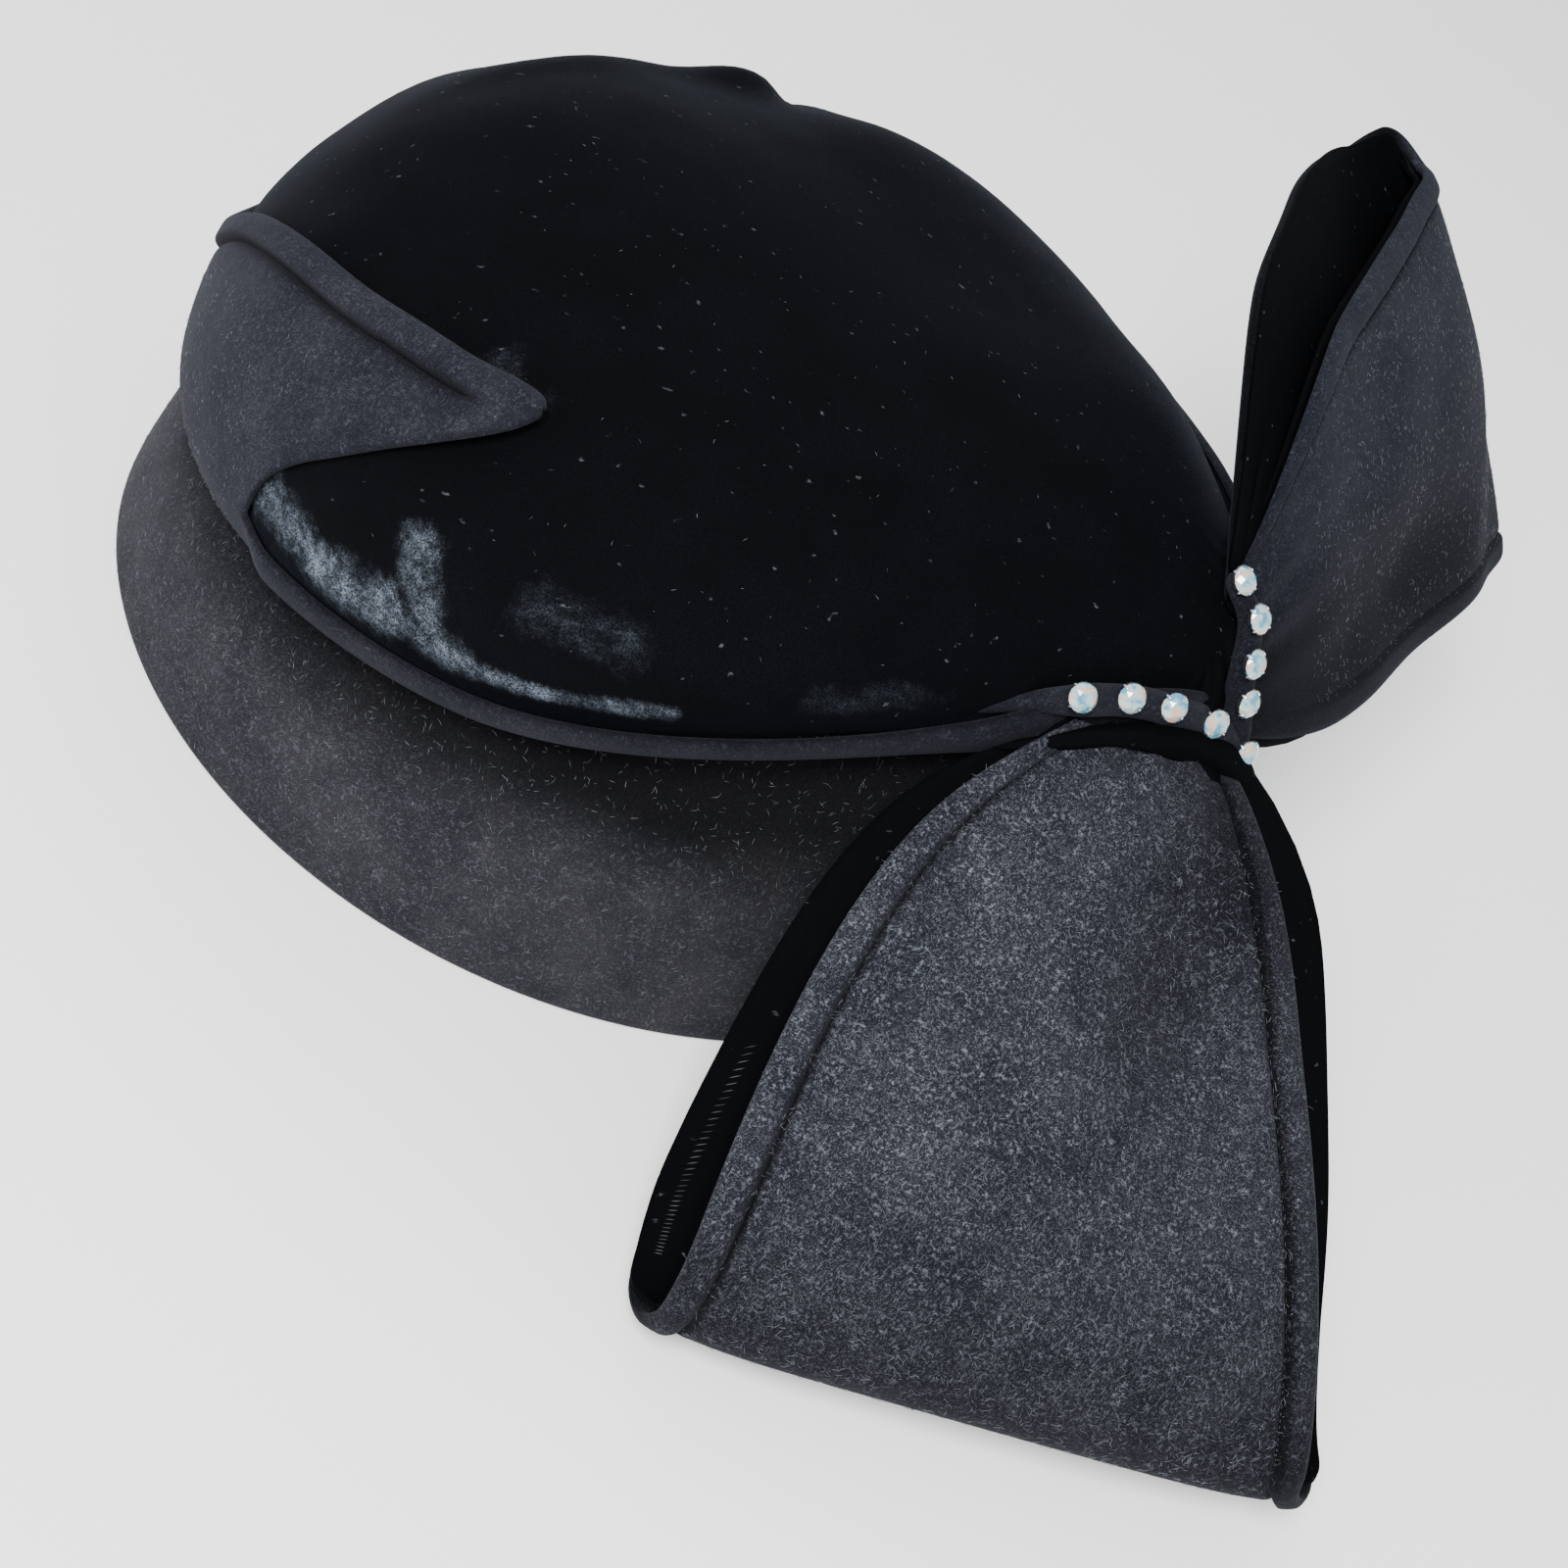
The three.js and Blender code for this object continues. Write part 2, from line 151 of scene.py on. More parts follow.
def curve_through(table: Sequence[tuple[float, float]], at: float) -> float:
    """Smooth value of a table of (place, value) rows at a place.

    Args:
        table: rows in rising order of place.
        at: the place asked for, held inside the table.

    Returns:
        The value on a Catmull-Rom curve through the rows.
    """
    at = min(max(at, table[0][0]), table[-1][0])
    last = len(table) - 1
    k = next((i for i in range(last) if at <= table[i + 1][0]), last - 1)
    x0, y0 = table[k]
    x1, y1 = table[k + 1]
    before = table[max(k - 1, 0)]
    after = table[min(k + 2, last)]
    slope0 = (y1 - before[1]) / (x1 - before[0])
    slope1 = (after[1] - y0) / (after[0] - x0)
    width = x1 - x0
    t = (at - x0) / width
    return (
        (2 * t**3 - 3 * t**2 + 1) * y0
        + (t**3 - 2 * t**2 + t) * width * slope0
        + (3 * t**2 - 2 * t**3) * y1
        + (t**3 - t**2) * width * slope1
    )


# Shader words


class Field:
    """A value socket that can be written in expressions."""

    def __init__(self, shader: "Shader", socket: bpy.types.NodeSocket) -> None:
        """Keeps the shader that the socket belongs to."""
        self.shader = shader
        self.socket = socket

    def _math(self, operation: str, *values: Any) -> "Field":
        """Adds one Math node over the given values.

        Args:
            operation: the node's operation.
            values: numbers or fields, in the node's order.

        Returns:
            The node's value.
        """
        node = self.shader.node(
            "ShaderNodeMath", {"operation": operation}, dict(enumerate(values))
        )
        return Field(self.shader, node.outputs[0])

    def __add__(self, other: Any) -> "Field":
        """Sum."""
        return self._math("ADD", self, other)

    __radd__ = __add__

    def __rsub__(self, other: Any) -> "Field":
        """A number less this value."""
        return self._math("SUBTRACT", other, self)

    def __mul__(self, other: Any) -> "Field":
        """Product."""
        return self._math("MULTIPLY", self, other)

    __rmul__ = __mul__

    def largest(self, other: Any) -> "Field":
        """The larger of two values."""
        return self._math("MAXIMUM", self, other)

    def step(self, low: float, high: float) -> "Field":
        """Smooth step of this value from 0 at low to 1 at high."""
        node = self.shader.node(
            "ShaderNodeMapRange",
            {"interpolation_type": "SMOOTHSTEP"},
            {"Value": self, "From Min": low, "From Max": high},
        )
        return Field(self.shader, node.outputs[0])


class Shader:
    """One material's node tree."""

    def __init__(self, name: str) -> None:
        """Starts an empty tree with its output.

        Args:
            name: the material's name.
        """
        self.material = bpy.data.materials.new(name)
        self.material.use_nodes = True
        self.tree = self.material.node_tree
        self.tree.nodes.clear()
        self.output = self.tree.nodes.new("ShaderNodeOutputMaterial")

    def node(
        self, kind: str, settings: dict[str, Any] | None = None, inputs: dict | None = None
    ) -> bpy.types.Node:
        """Adds a node.

        Args:
            kind: the node's type.
            settings: its properties, and "stops" for a colour ramp, which are set first.
            inputs: values, fields or sockets by socket name or number.

        Returns:
            The new node.
        """
        node = self.tree.nodes.new(kind)
        for name, value in (settings or {}).items():
            if name == "stops":
                ramp = node.color_ramp
                while len(ramp.elements) < len(value):
                    ramp.elements.new(0.5)
                for element, (place, colour) in zip(ramp.elements, value):
                    element.position = place
                    element.color = (*colour, 1.0)
            else:
                setattr(node, name, value)
        for name, value in (inputs or {}).items():
            socket = node.inputs[name]
            if isinstance(value, Field):
                value = value.socket
            if isinstance(value, bpy.types.NodeSocket):
                self.tree.links.new(value, socket)
            else:
                socket.default_value = value
        return node

    def place(
        self, turn: Sequence[float] = (0, 0, 0), scale: Sequence[float] = (1, 1, 1)
    ) -> bpy.types.NodeSocket:
        """Object coordinates, turned and scaled.

        Args:
            turn: turns about X, Y and Z in radians.
            scale: factors along X, Y and Z after the turn.

        Returns:
            The vector socket.
        """
        coordinates = self.node("ShaderNodeTexCoord").outputs["Object"]
        turned = self.node(
            "ShaderNodeMapping", {"vector_type": "POINT"}, {"Vector": coordinates, "Rotation": turn}
        ).outputs[0]
        return self.node(
            "ShaderNodeMapping", {"vector_type": "POINT"}, {"Vector": turned, "Scale": scale}
        ).outputs[0]

    def noise(
        self, vector: bpy.types.NodeSocket, scale: float, detail: float = 2.0, rough: float = 0.5
    ) -> Field:
        """Noise value from 0 to 1 over a vector."""
        node = self.node(
            "ShaderNodeTexNoise",
            {"noise_dimensions": "3D"},
            {"Vector": vector, "Scale": scale, "Detail": detail, "Roughness": rough},
        )
        return Field(self, node.outputs[0])

    def mix(self, share: Any, first: Any, second: Any) -> bpy.types.NodeSocket:
        """Mix of two colours.

        Args:
            share: 0 gives the first colour and 1 the second.
            first: colour or socket.
            second: colour or socket.

        Returns:
            The colour socket.
        """
        inputs = {}
        for name, value in ((6, first), (7, second)):
            is_colour = isinstance(value, tuple)
            inputs[name] = (*value, 1.0) if is_colour else value
        inputs[0] = share
        node = self.node("ShaderNodeMix", {"data_type": "RGBA"}, inputs)
        return node.outputs[2]

    def near_line(self, first: Vector, second: Vector, reach: float) -> Field:
        """Mask that is 1 on the line between two places of the hat and 0 beyond a reach.

        Args:
            first: one end in millimetres.
            second: the other end.
            reach: distance in millimetres at which the mask ends.

        Returns:
            The mask.
        """
        a, b = to_row(first), to_row(second)
        run = b - a
        spot = self.place()
        off = self.node(
            "ShaderNodeVectorMath", {"operation": "SUBTRACT"}, {0: spot, 1: tuple(a)}
        ).outputs[0]
        dot = self.node(
            "ShaderNodeVectorMath", {"operation": "DOT_PRODUCT"}, {0: off, 1: tuple(run)}
        ).outputs["Value"]
        share = self.node(
            "ShaderNodeClamp", {}, {"Value": Field(self, dot) * (1.0 / run.length_squared)}
        ).outputs[0]
        foot = self.node(
            "ShaderNodeVectorMath", {"operation": "SCALE"}, {0: tuple(run), "Scale": share}
        ).outputs[0]
        away = self.node(
            "ShaderNodeVectorMath", {"operation": "DISTANCE"}, {0: off, 1: foot}
        ).outputs["Value"]
        return 1.0 - Field(self, away).step(0.0, reach * MM)

    def finish(self, **sockets: Any) -> bpy.types.Material:
        """Adds the surface with the given socket values and returns the material.

        Args:
            sockets: values or links by socket name, with _ for a space.

        Returns:
            The material.
        """
        names = {name.replace("_", " "): value for name, value in sockets.items()}
        surface = self.node("ShaderNodeBsdfPrincipled", {}, names)
        self.tree.links.new(surface.outputs[0], self.output.inputs[0])
        return self.material

    def bump(self, height: Any, strength: float, depth: float) -> bpy.types.NodeSocket:
        """Bump normal from a height field."""
        return self.node(
            "ShaderNodeBump", {}, {"Height": height, "Strength": strength, "Distance": depth}
        ).outputs[0]


# Finishes


@dataclass(frozen=True)
class FeltFinish:
    """Matt wool felt: short fibres lying every way over a dark ground."""

    name: str = "charcoal_felt"
    ground: tuple[float, float, float] = (0.0048, 0.0057, 0.0092)
    fibre: tuple[float, float, float] = (0.400, 0.430, 0.520)
    dusty: tuple[float, float, float] = (0.0110, 0.0115, 0.0155)
    cover: float = 0.34
    fibre_length: float = 2.0
    fibre_width: float = 0.24

    def strands(self, shader: Shader) -> Field:
        """Fibres as streaks of noise laid in several directions.

        Args:
            shader: the felt's node tree.

        Returns:
            A field that is 1 on a fibre.
        """
        turns = ((0.3, 0.2, 0.5), (1.2, -0.4, 1.7), (-0.8, 0.9, 2.6), (0.1, 1.4, -0.6))
        along, across = 1.0 / (self.fibre_length * MM), 1.0 / (self.fibre_width * MM)
        total = None
        for turn in turns:
            streak = shader.noise(shader.place(turn, (along, across, across)), 1.0, 2.0, 0.6)
            peak = streak.step(0.60, 0.71)
            total = peak if total is None else total.largest(peak)
        return total

    def material(self) -> bpy.types.Material:
        """Builds the felt.

        Returns:
            The material.
        """
        shader = Shader(self.name)
        strands = self.strands(shader)
        mottle = shader.noise(shader.place(), 60.0, 5.0, 0.65).step(0.3, 0.72)
        grain = shader.noise(shader.place(), 1300.0, 3.0, 0.7)
        speck = grain.step(0.50, 0.70) * shader.noise(shader.place(), 420.0, 2.0, 0.5).step(0.3, 0.7)
        worn = shader.mix(mottle, self.ground, self.dusty)
        light = strands * (0.45 + 0.45 * mottle) + speck * 0.85
        base = shader.mix(light * self.cover, worn, self.fibre)
        shade = shader.node("ShaderNodeAttribute", {"attribute_name": "shade"}).outputs["Fac"]
        base = shader.mix(shade, base, tuple(0.12 * c for c in self.ground))
        height = strands * 0.7 + grain * 0.5
        return shader.finish(
            Base_Color=base,
            Roughness=0.95,
            Specular_IOR_Level=0.06,
            Sheen_Weight=0.04,
            Sheen_Roughness=0.5,
            Sheen_Tint=(0.62, 0.66, 0.80, 1.0),
            Normal=shader.bump(height, 0.6, 0.0006),
        )


@dataclass(frozen=True)
class FibreFinish:
    """Loose pale wool fibres and lint."""

    name: str = "pale_fibre"
    colour: tuple[float, float, float] = (0.16, 0.17, 0.20)

    def material(self) -> bpy.types.Material:
        """Builds the fibre.

        Returns:
            The material.
        """
        shader = Shader(self.name)
        tint = shader.noise(shader.place(), 260.0, 1.0, 0.5).step(0.35, 0.65)
        dull = tuple(0.35 * c for c in self.colour)
        base = shader.mix(tint, dull, self.colour)
        return shader.finish(Base_Color=base, Roughness=0.8, Specular_IOR_Level=0.2)


@dataclass(frozen=True)
class BrushedSheenLine:
    """A line on the velvet round which the pile is brushed over and a painted sheen lightens its colour,
    in millimetres.
    """

    first: tuple[float, float, float]
    second: tuple[float, float, float]
    reach: float
    strength: float


@dataclass(frozen=True)
class VelvetFinish:
    """Black velvet: a deep pile, with a painted bluish sheen in its colour where it is brushed over."""

    name: str = "black_velvet"
    pile: tuple[float, float, float] = (0.0008, 0.0010, 0.0015)
    tip: tuple[float, float, float] = (0.0035, 0.0042, 0.0058)
    # Colour of the painted sheen on the brushed pile
    brushed: tuple[float, float, float] = (0.18, 0.215, 0.27)
    lint: tuple[float, float, float] = (0.22, 0.24, 0.27)
    sheen: float = 0.03
    brushed_sheen_lines: tuple[BrushedSheenLine, ...] = ()

    def material(self) -> bpy.types.Material:
        """Builds the velvet.

        Returns:
            The material.
        """
        shader = Shader(self.name)
        nap = shader.noise(shader.place(), 2600.0, 3.0, 0.7)
        sweep = shader.noise(shader.place(), 42.0, 4.0, 0.62).step(0.35, 0.75)
        base = shader.mix(nap.step(0.35, 0.8) * (0.25 + 0.6 * sweep), self.pile, self.tip)
        patch = shader.noise(shader.place((0.9, -0.3, 0.35), (1.0, 0.42, 1.0)), 85.0, 8.0, 0.78)
        swept = shader.place((0.5, 0.2, 0.9), (1.0, 0.35, 1.0))
        stroke = shader.noise(swept, 480.0, 3.0, 0.6).step(0.36, 0.66)
        fine = (0.10 + 0.90 * nap.step(0.38, 0.66)) * (0.30 + 0.70 * stroke)
        # Painted sheen: round each line the colour is lightened bluish, where the brushed pile catches the
        # light
        for line in self.brushed_sheen_lines:
            mask = shader.near_line(Vector(line.first), Vector(line.second), line.reach)
            sheen_mask = (mask * 0.75 + patch * 1.5).step(1.05, 1.80) * mask.step(0.0, 0.45) * fine
            base = shader.mix(sheen_mask * line.strength, base, self.brushed)
        drawn = shader.place((0.9, 0.3, 0.4), (0.45, 1.0, 1.0))
        tufts = shader.noise(drawn, 620.0, 2.0, 0.5).step(0.70, 0.82)
        base = shader.mix(tufts * 0.22, base, self.lint)
        return shader.finish(
            Base_Color=base,
            Roughness=0.85,
            Specular_IOR_Level=0.03,
            Sheen_Weight=self.sheen,
            Sheen_Roughness=0.3,
            Sheen_Tint=(0.52, 0.62, 0.85, 1.0),
            Normal=shader.bump(nap, 0.5, 0.0004),
        )


@dataclass(frozen=True)
class CrystalFinish:
    """Cut crystal with a rainbow coat: pale and glossy, its blue and peach facets partly the coat's colour
    and partly painted glints.
    """

    name: str = "coated_crystal"

    def material(self) -> bpy.types.Material:
        """Builds the crystal.

        Returns:
            The material.
        """
        shader = Shader(self.name)
        facets = shader.noise(shader.place(), 520.0, 1.0, 0.4)
        # Painted glints: the noise lays lighter and darker facets of reflected light, tinted by the coat,
        # into the colour
        ramp = shader.node(
            "ShaderNodeValToRGB",
            {
                "stops": (
                    (0.36, (0.06, 0.22, 0.34)),
                    (0.46, (0.24, 0.40, 0.44)),
                    (0.56, (0.36, 0.42, 0.41)),
                    (0.66, (0.50, 0.34, 0.26)),
                )
            },
            {"Fac": facets},
        ).outputs[0]
        return shader.finish(
            Base_Color=ramp,
            Roughness=0.08,
            Coat_Weight=1.0,
            Coat_Roughness=0.02,
            IOR=1.7,
        )


@dataclass(frozen=True)
class SettingFinish:
    """Silver-plated metal of the stone cups."""

    name: str = "silver_setting"

    def material(self) -> bpy.types.Material:
        """Builds the metal.

        Returns:
            The material.
        """
        shader = Shader(self.name)
        wear = shader.noise(shader.place(), 900.0, 3.0, 0.6)
        base = shader.mix(wear, (0.46, 0.46, 0.48), (0.74, 0.74, 0.76))
        return shader.finish(Base_Color=base, Metallic=1.0, Roughness=0.2 + wear * 0.2)


BRIM_FELT = FeltFinish(
    name="dusty_felt",
    ground=(0.0090, 0.0092, 0.0120),
    dusty=(0.0170, 0.0165, 0.0190),
    fibre=(0.250, 0.262, 0.310),
    cover=0.22,
)
BAND_FELT = FeltFinish(name="navy_felt", fibre=(0.150, 0.165, 0.225), cover=0.20)
FAR_FELT = FeltFinish(
    name="shaded_felt", ground=(0.0045, 0.0054, 0.0092), fibre=(0.170, 0.200, 0.310), cover=0.18
)
THREAD = FibreFinish(name="sewing_thread", colour=(0.050, 0.052, 0.060))
# The crown's velvet with darker pile tips and no sheen: painted shade for the lining, which lies in shadow
SHADED_LINING_VELVET = VelvetFinish(name="shaded_black_velvet_lining", tip=(0.0022, 0.0024, 0.0030), sheen=0.0)
CROWN_VELVET = VelvetFinish(
    # Brushed pile with a painted sheen, each line as first end, second end, reach and strength
    brushed_sheen_lines=(
        BrushedSheenLine((-63.5, -78.0, 63.0), (-46.0, -88.0, 62.0), 15.0, 0.90),
        BrushedSheenLine((-46.0, -88.0, 62.0), (-30.0, -94.5, 66.0), 16.0, 0.95),
        BrushedSheenLine((-30.0, -94.5, 66.0), (-14.0, -98.6, 70.0), 10.0, 0.85),
        BrushedSheenLine((-29.0, -92.0, 83.0), (-24.0, -95.5, 75.0), 11.0, 0.75),
        BrushedSheenLine((-4.0, -97.0, 89.0), (12.0, -96.5, 90.0), 13.0, 0.16),
        BrushedSheenLine((-18.0, -98.3, 68.5), (3.0, -100.3, 74.0), 5.0, 0.80),
        BrushedSheenLine((3.0, -100.3, 74.0), (26.0, -95.2, 81.0), 4.6, 0.80),
        BrushedSheenLine((48.0, -84.0, 92.0), (72.0, -72.0, 98.0), 9.0, 0.15),
        BrushedSheenLine((-32.0, -66.0, 106.0), (-24.0, -70.0, 106.0), 12.0, 0.25),
    )
)


# Mesh words


def new_piece(name: str, form: bmesh.types.BMesh, *looks: bpy.types.Material) -> bpy.types.Object:
    """Turns a bmesh into an object of the hat.

    Args:
        name: the piece's name.
        form: its finished bmesh, which is freed.
        looks: its materials, in slot order.

    Returns:
        The object, with smooth faces.
    """
    mesh = bpy.data.meshes.new(name)
    form.to_mesh(mesh)
    form.free()
    piece = bpy.data.objects.new(name, mesh)
    bpy.context.scene.collection.objects.link(piece)
    for look in looks:
        mesh.materials.append(look)
    for face in mesh.polygons:
        face.use_smooth = True
    return piece


def cloth_grid(
    u_values: Sequence[float],
    v_values: Sequence[float],
    surface: Surface,
    shade: Callable[[float, float], float] | None = None,
) -> bmesh.types.BMesh:
    """Grid of cloth laid on a surface.

    Args:
        u_values: steps along the first value, one per column.
        v_values: steps along the second value, one per row.
        surface: place in millimetres at (u, v), with u cross v pointing out.
        shade: how far the cloth is darkened at (u, v), kept as the attribute "shade".

    Returns:
        A bmesh in metres with doubles merged, so a closed surface is closed.
    """
    form = bmesh.new()
    columns, rows = len(u_values) - 1, len(v_values) - 1
    bmesh.ops.create_grid(form, x_segments=columns, y_segments=rows, size=0.5)
    layer = form.verts.layers.float.new("shade")
    for vertex in form.verts:
        i = round((vertex.co.x + 0.5) * columns)
        j = round((vertex.co.y + 0.5) * rows)
        vertex.co = to_row(surface(u_values[i], v_values[j]))
        vertex[layer] = shade(u_values[i], v_values[j]) if shade else 0.0
    bmesh.ops.remove_doubles(form, verts=form.verts, dist=WELD)
    return form


def join_forms(*forms: bmesh.types.BMesh) -> bmesh.types.BMesh:
    """One bmesh of several, with the edges that they share merged.

    Args:
        forms: the bmeshes, which are freed.

    Returns:
        The joined bmesh.
    """
    whole = bmesh.new()
    for form in forms:
        scratch = bpy.data.meshes.new("scratch")
        form.to_mesh(scratch)
        form.free()
        whole.from_mesh(scratch)
        bpy.data.meshes.remove(scratch)
    bmesh.ops.remove_doubles(whole, verts=whole.verts, dist=WELD * 10)
    return whole


def give_thickness(piece: bpy.types.Object, depth: float, levels: int = 1) -> None:
    """Gives a cloth its thickness inwards and softens it.

    Args:
        piece: the cloth.
        depth: thickness in millimetres.
        levels: subdivision levels.
    """
    wall = piece.modifiers.new("thickness", "SOLIDIFY")
    wall.thickness = depth * MM
    wall.offset = -1.0
    wall.use_even_offset = False
    if levels:
        soft = piece.modifiers.new("softness", "SUBSURF")
        soft.levels = levels
        soft.render_levels = levels


def tuck_relief(away: float, height: float = 1.5, groove: float = 1.9) -> float:
    """Height of a stitched tuck along a cloth's edge.

    Args:
        away: distance from the edge in millimetres.
        height: how far it stands proud.
        groove: how deep its stitched line is drawn in.

    Returns:
        Offset along the outward normal in millimetres.
    """
    roll = math.sqrt(smooth(-0.4, 2.2, away))
    fall = smooth(TUCK_WIDTH - 0.6, TUCK_WIDTH + 1.6, away)
    line = bell(away, TUCK_WIDTH + 0.95, 0.62)
    return height * (roll * (1.0 - fall)) - 1.0 * (1.0 - roll) - groove * line


@dataclass
class Strands:
    """Loose fibres or short stitches: thin three-sided strands, closed at both tips."""

    name: str
    radius: float = 0.036
    rise: float = 0.12
    corners: int = 4

    def build(
        self, lines: Sequence[Sequence[Vector]], look: bpy.types.Material, slot: Slot
    ) -> bpy.types.Object:
        """Builds one strand along each line.

        Args:
            lines: four places in millimetres per strand.
            look: the material.
            slot: the slot in the record; not used.

        Returns:
            The piece.
        """
        form = bmesh.new()
        rows = self.corners * len(lines) - 1
        bmesh.ops.create_grid(form, x_segments=3, y_segments=rows, size=0.5)
        between = [
            face
            for face in form.faces
            if round((face.calc_center_median().y + 0.5) * rows - 0.5) % self.corners == self.corners - 1
        ]
        for vertex in form.verts:
            side = round((vertex.co.x + 0.5) * 3)
            row = round((vertex.co.y + 0.5) * rows)
            line, k = lines[row // self.corners], row % self.corners
            ahead = (line[-1] - line[0]).normalized()
            right = ahead.orthogonal().normalized()
            turn = 2.0 * math.pi * side / 3.0
            out = right * math.cos(turn) + ahead.cross(right) * math.sin(turn)
            radius = 0.0 if k in (0, self.corners - 1) else self.radius
            vertex.co = to_row(line[k] + out * radius)
        bmesh.ops.delete(form, geom=between, context="FACES")
        bmesh.ops.remove_doubles(form, verts=form.verts, dist=WELD)
        bmesh.ops.recalc_face_normals(form, faces=form.faces)
        piece = new_piece(self.name, form, look)
        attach(piece, "root")
        return piece

    def scatter(
        self,
        surface: Surface,
        u_range: tuple[float, float],
        v_range: tuple[float, float],
        count: int,
        lengths: tuple[float, float],
        seed: int,
    ) -> list[list[Vector]]:
        """Lines of loose fibres lying every way on a cloth.

        Args:
            surface: the cloth's outer face.
            u_range: first and last value along it.
            v_range: first and last value across it.
            count: how many fibres.
            lengths: shortest and longest in millimetres.
            seed: start of the random series.

        Returns:
            Four places per fibre.
        """
        rng = random.Random(seed)
        step = 2e-3

        def area(u: float, v: float) -> float:
            """Area of the cloth per step of its two values."""
            place = surface(u, v)
            return (surface(u + step, v) - place).cross(surface(u, v + step) - place).length

        spots = [(rng.uniform(*u_range), rng.uniform(*v_range)) for _ in range(150)]
        largest = 1.1 * max(area(*spot) for spot in spots)
        lines: list[list[Vector]] = []
        while len(lines) < count:
            u, v = rng.uniform(*u_range), rng.uniform(*v_range)
            if rng.random() * largest > area(u, v):
                continue
            place, normal = surface(u, v), surface_normal(surface, u, v)
            first = normal.orthogonal().normalized()
            turn = rng.uniform(0.0, 2.0 * math.pi)
            ahead = first * math.cos(turn) + normal.cross(first) * math.sin(turn)
            aside = normal.cross(ahead) * rng.uniform(-0.35, 0.35)
            length = rng.uniform(*lengths)
            high = self.rise * rng.uniform(0.4, 1.6)
            lines.append(
                [
                    place - normal * 0.05,
                    place + ahead * length * 0.33 + aside * length * 0.3 + normal * high,
                    place + ahead * length * 0.67 + aside * length * 0.3 + normal * high,
                    place + ahead * length + normal * high * 0.2,
                ]
            )
        return lines


# Crown


@dataclass(frozen=True)
class Fold:
    """A soft ridge or dent of the velvet.

    Its middle lies at round, in degrees, and lift. It reaches over length and width in
    millimetres, turned by turn in radians, and stands height millimetres proud.
    """

    round: float
    lift: float
    length: float
    width: float
    turn: float
    height: float


@dataclass(frozen=True)
class CrownForm:
    """The egg-shaped dome of the crown.

    The seam rises towards the bow by seam_rise per millimetre, and by seam_kick on the near side
    of the bow. The roundness fields are exponents: 2 is an ellipse and more is squarer.
    """

    centre_x: float = 4.6
    centre_y: float = -1.5
    half_length: float = 114.6
    half_width: float = 99.0
    turn: float = math.radians(-8.5)
    back_taper: float = 0.6
    top: float = 127.0
    top_tilt: float = -0.022
    roundness_across: float = 2.46
    roundness_up: float = 2.16
    seam_height: float = 59.6
    seam_rise: float = 0.241
    seam_kick: float = 11.7
    bulge_height: float = 12.0
    overhang: float = 0.05
    seam_lift: float = -0.5
    folds: tuple[Fold, ...] = (
        Fold(70, 1.25, 50, 50, 0.0, -4.0),
        Fold(128, 1.0, 34, 34, 0.0, -4.0),
        Fold(100, 0.95, 22, 22, 0.0, 3.0),
        Fold(-20, 1.05, 40, 40, 0.0, -3.0),
        Fold(42, 0.6, 40, 40, 0.0, 5.0),
        Fold(126, 0.80, 13, 11, 0.0, 5.2),
        Fold(118, 0.78, 4, 11, 0.15, -2.6),
        Fold(160, 0.9, 34, 7, -0.25, 1.6),
        Fold(152, 0.75, 34, 6, -0.25, -1.6),
    )

    def plain(self, angle: float, lift: float) -> Vector:
        """Place on the dome without its folds.

        Args:
            angle: angle round the crown in radians.
            lift: 0 on the bulge line, a quarter turn at the top, seam_lift at the lower edge.

        Returns:
            The place in millimetres.
        """
        forward, sideways = math.cos(angle), math.sin(angle)
        taper = 1.0 - self.back_taper * max(0.0, forward) ** 2
        along = self.half_length * forward
        across = self.half_width * sideways * taper
        kick = self.seam_kick * soft_positive(forward) * soft_positive(-sideways)
        seam = self.seam_height + self.seam_rise * along + kick
        bulge = seam + self.bulge_height
        if lift >= 0.0:
            reach = abs(math.cos(lift)) ** (2.0 / self.roundness_across)
            rise = math.sin(lift) ** (2.0 / self.roundness_up)
            height = bulge + (self.top + self.top_tilt * along * reach - bulge) * rise
        else:
            reach = 1.0 - self.overhang * (lift / self.seam_lift) ** 2
            height = bulge + self.bulge_height / math.sin(-self.seam_lift) * math.sin(lift)
        spot = Matrix.Rotation(self.turn, 2) @ Vector((along, across))
        return Vector((self.centre_x + spot.x * reach, self.centre_y + spot.y * reach, height))

    @cached_property
    def fold_frames(self) -> list[tuple[Vector, Vector, Vector, Fold]]:
        """Middle of each fold, with the directions along and across it.

        Returns:
            The middle, the two directions divided by the fold's length and width, and the fold.
        """
        frames = []
        for fold in self.folds:
            angle = math.radians(fold.round)
            middle = self.plain(angle, fold.lift)
            side = (self.plain(angle + 0.01, fold.lift) - middle).normalized()
            rise = (self.plain(angle, fold.lift + 0.01) - middle).normalized()
            along = side * math.cos(fold.turn) + rise * math.sin(fold.turn)
            across = rise * math.cos(fold.turn) - side * math.sin(fold.turn)
            frames.append((middle, along / fold.length, across / fold.width, fold))
        return frames

    def point(self, angle: float, lift: float) -> Vector:
        """Place on the dome with its folds.

        Args:
            angle: angle round the crown in radians.
            lift: as in plain.

        Returns:
            The place in millimetres.
        """
        place = self.plain(angle, lift)
        lifted = 0.0
        for middle, along, across, fold in self.fold_frames:
            away = place - middle
            lifted += fold.height * math.exp(-(away.dot(along) ** 2) - away.dot(across) ** 2)
        return place + Vector((0.0, 0.0, lifted))


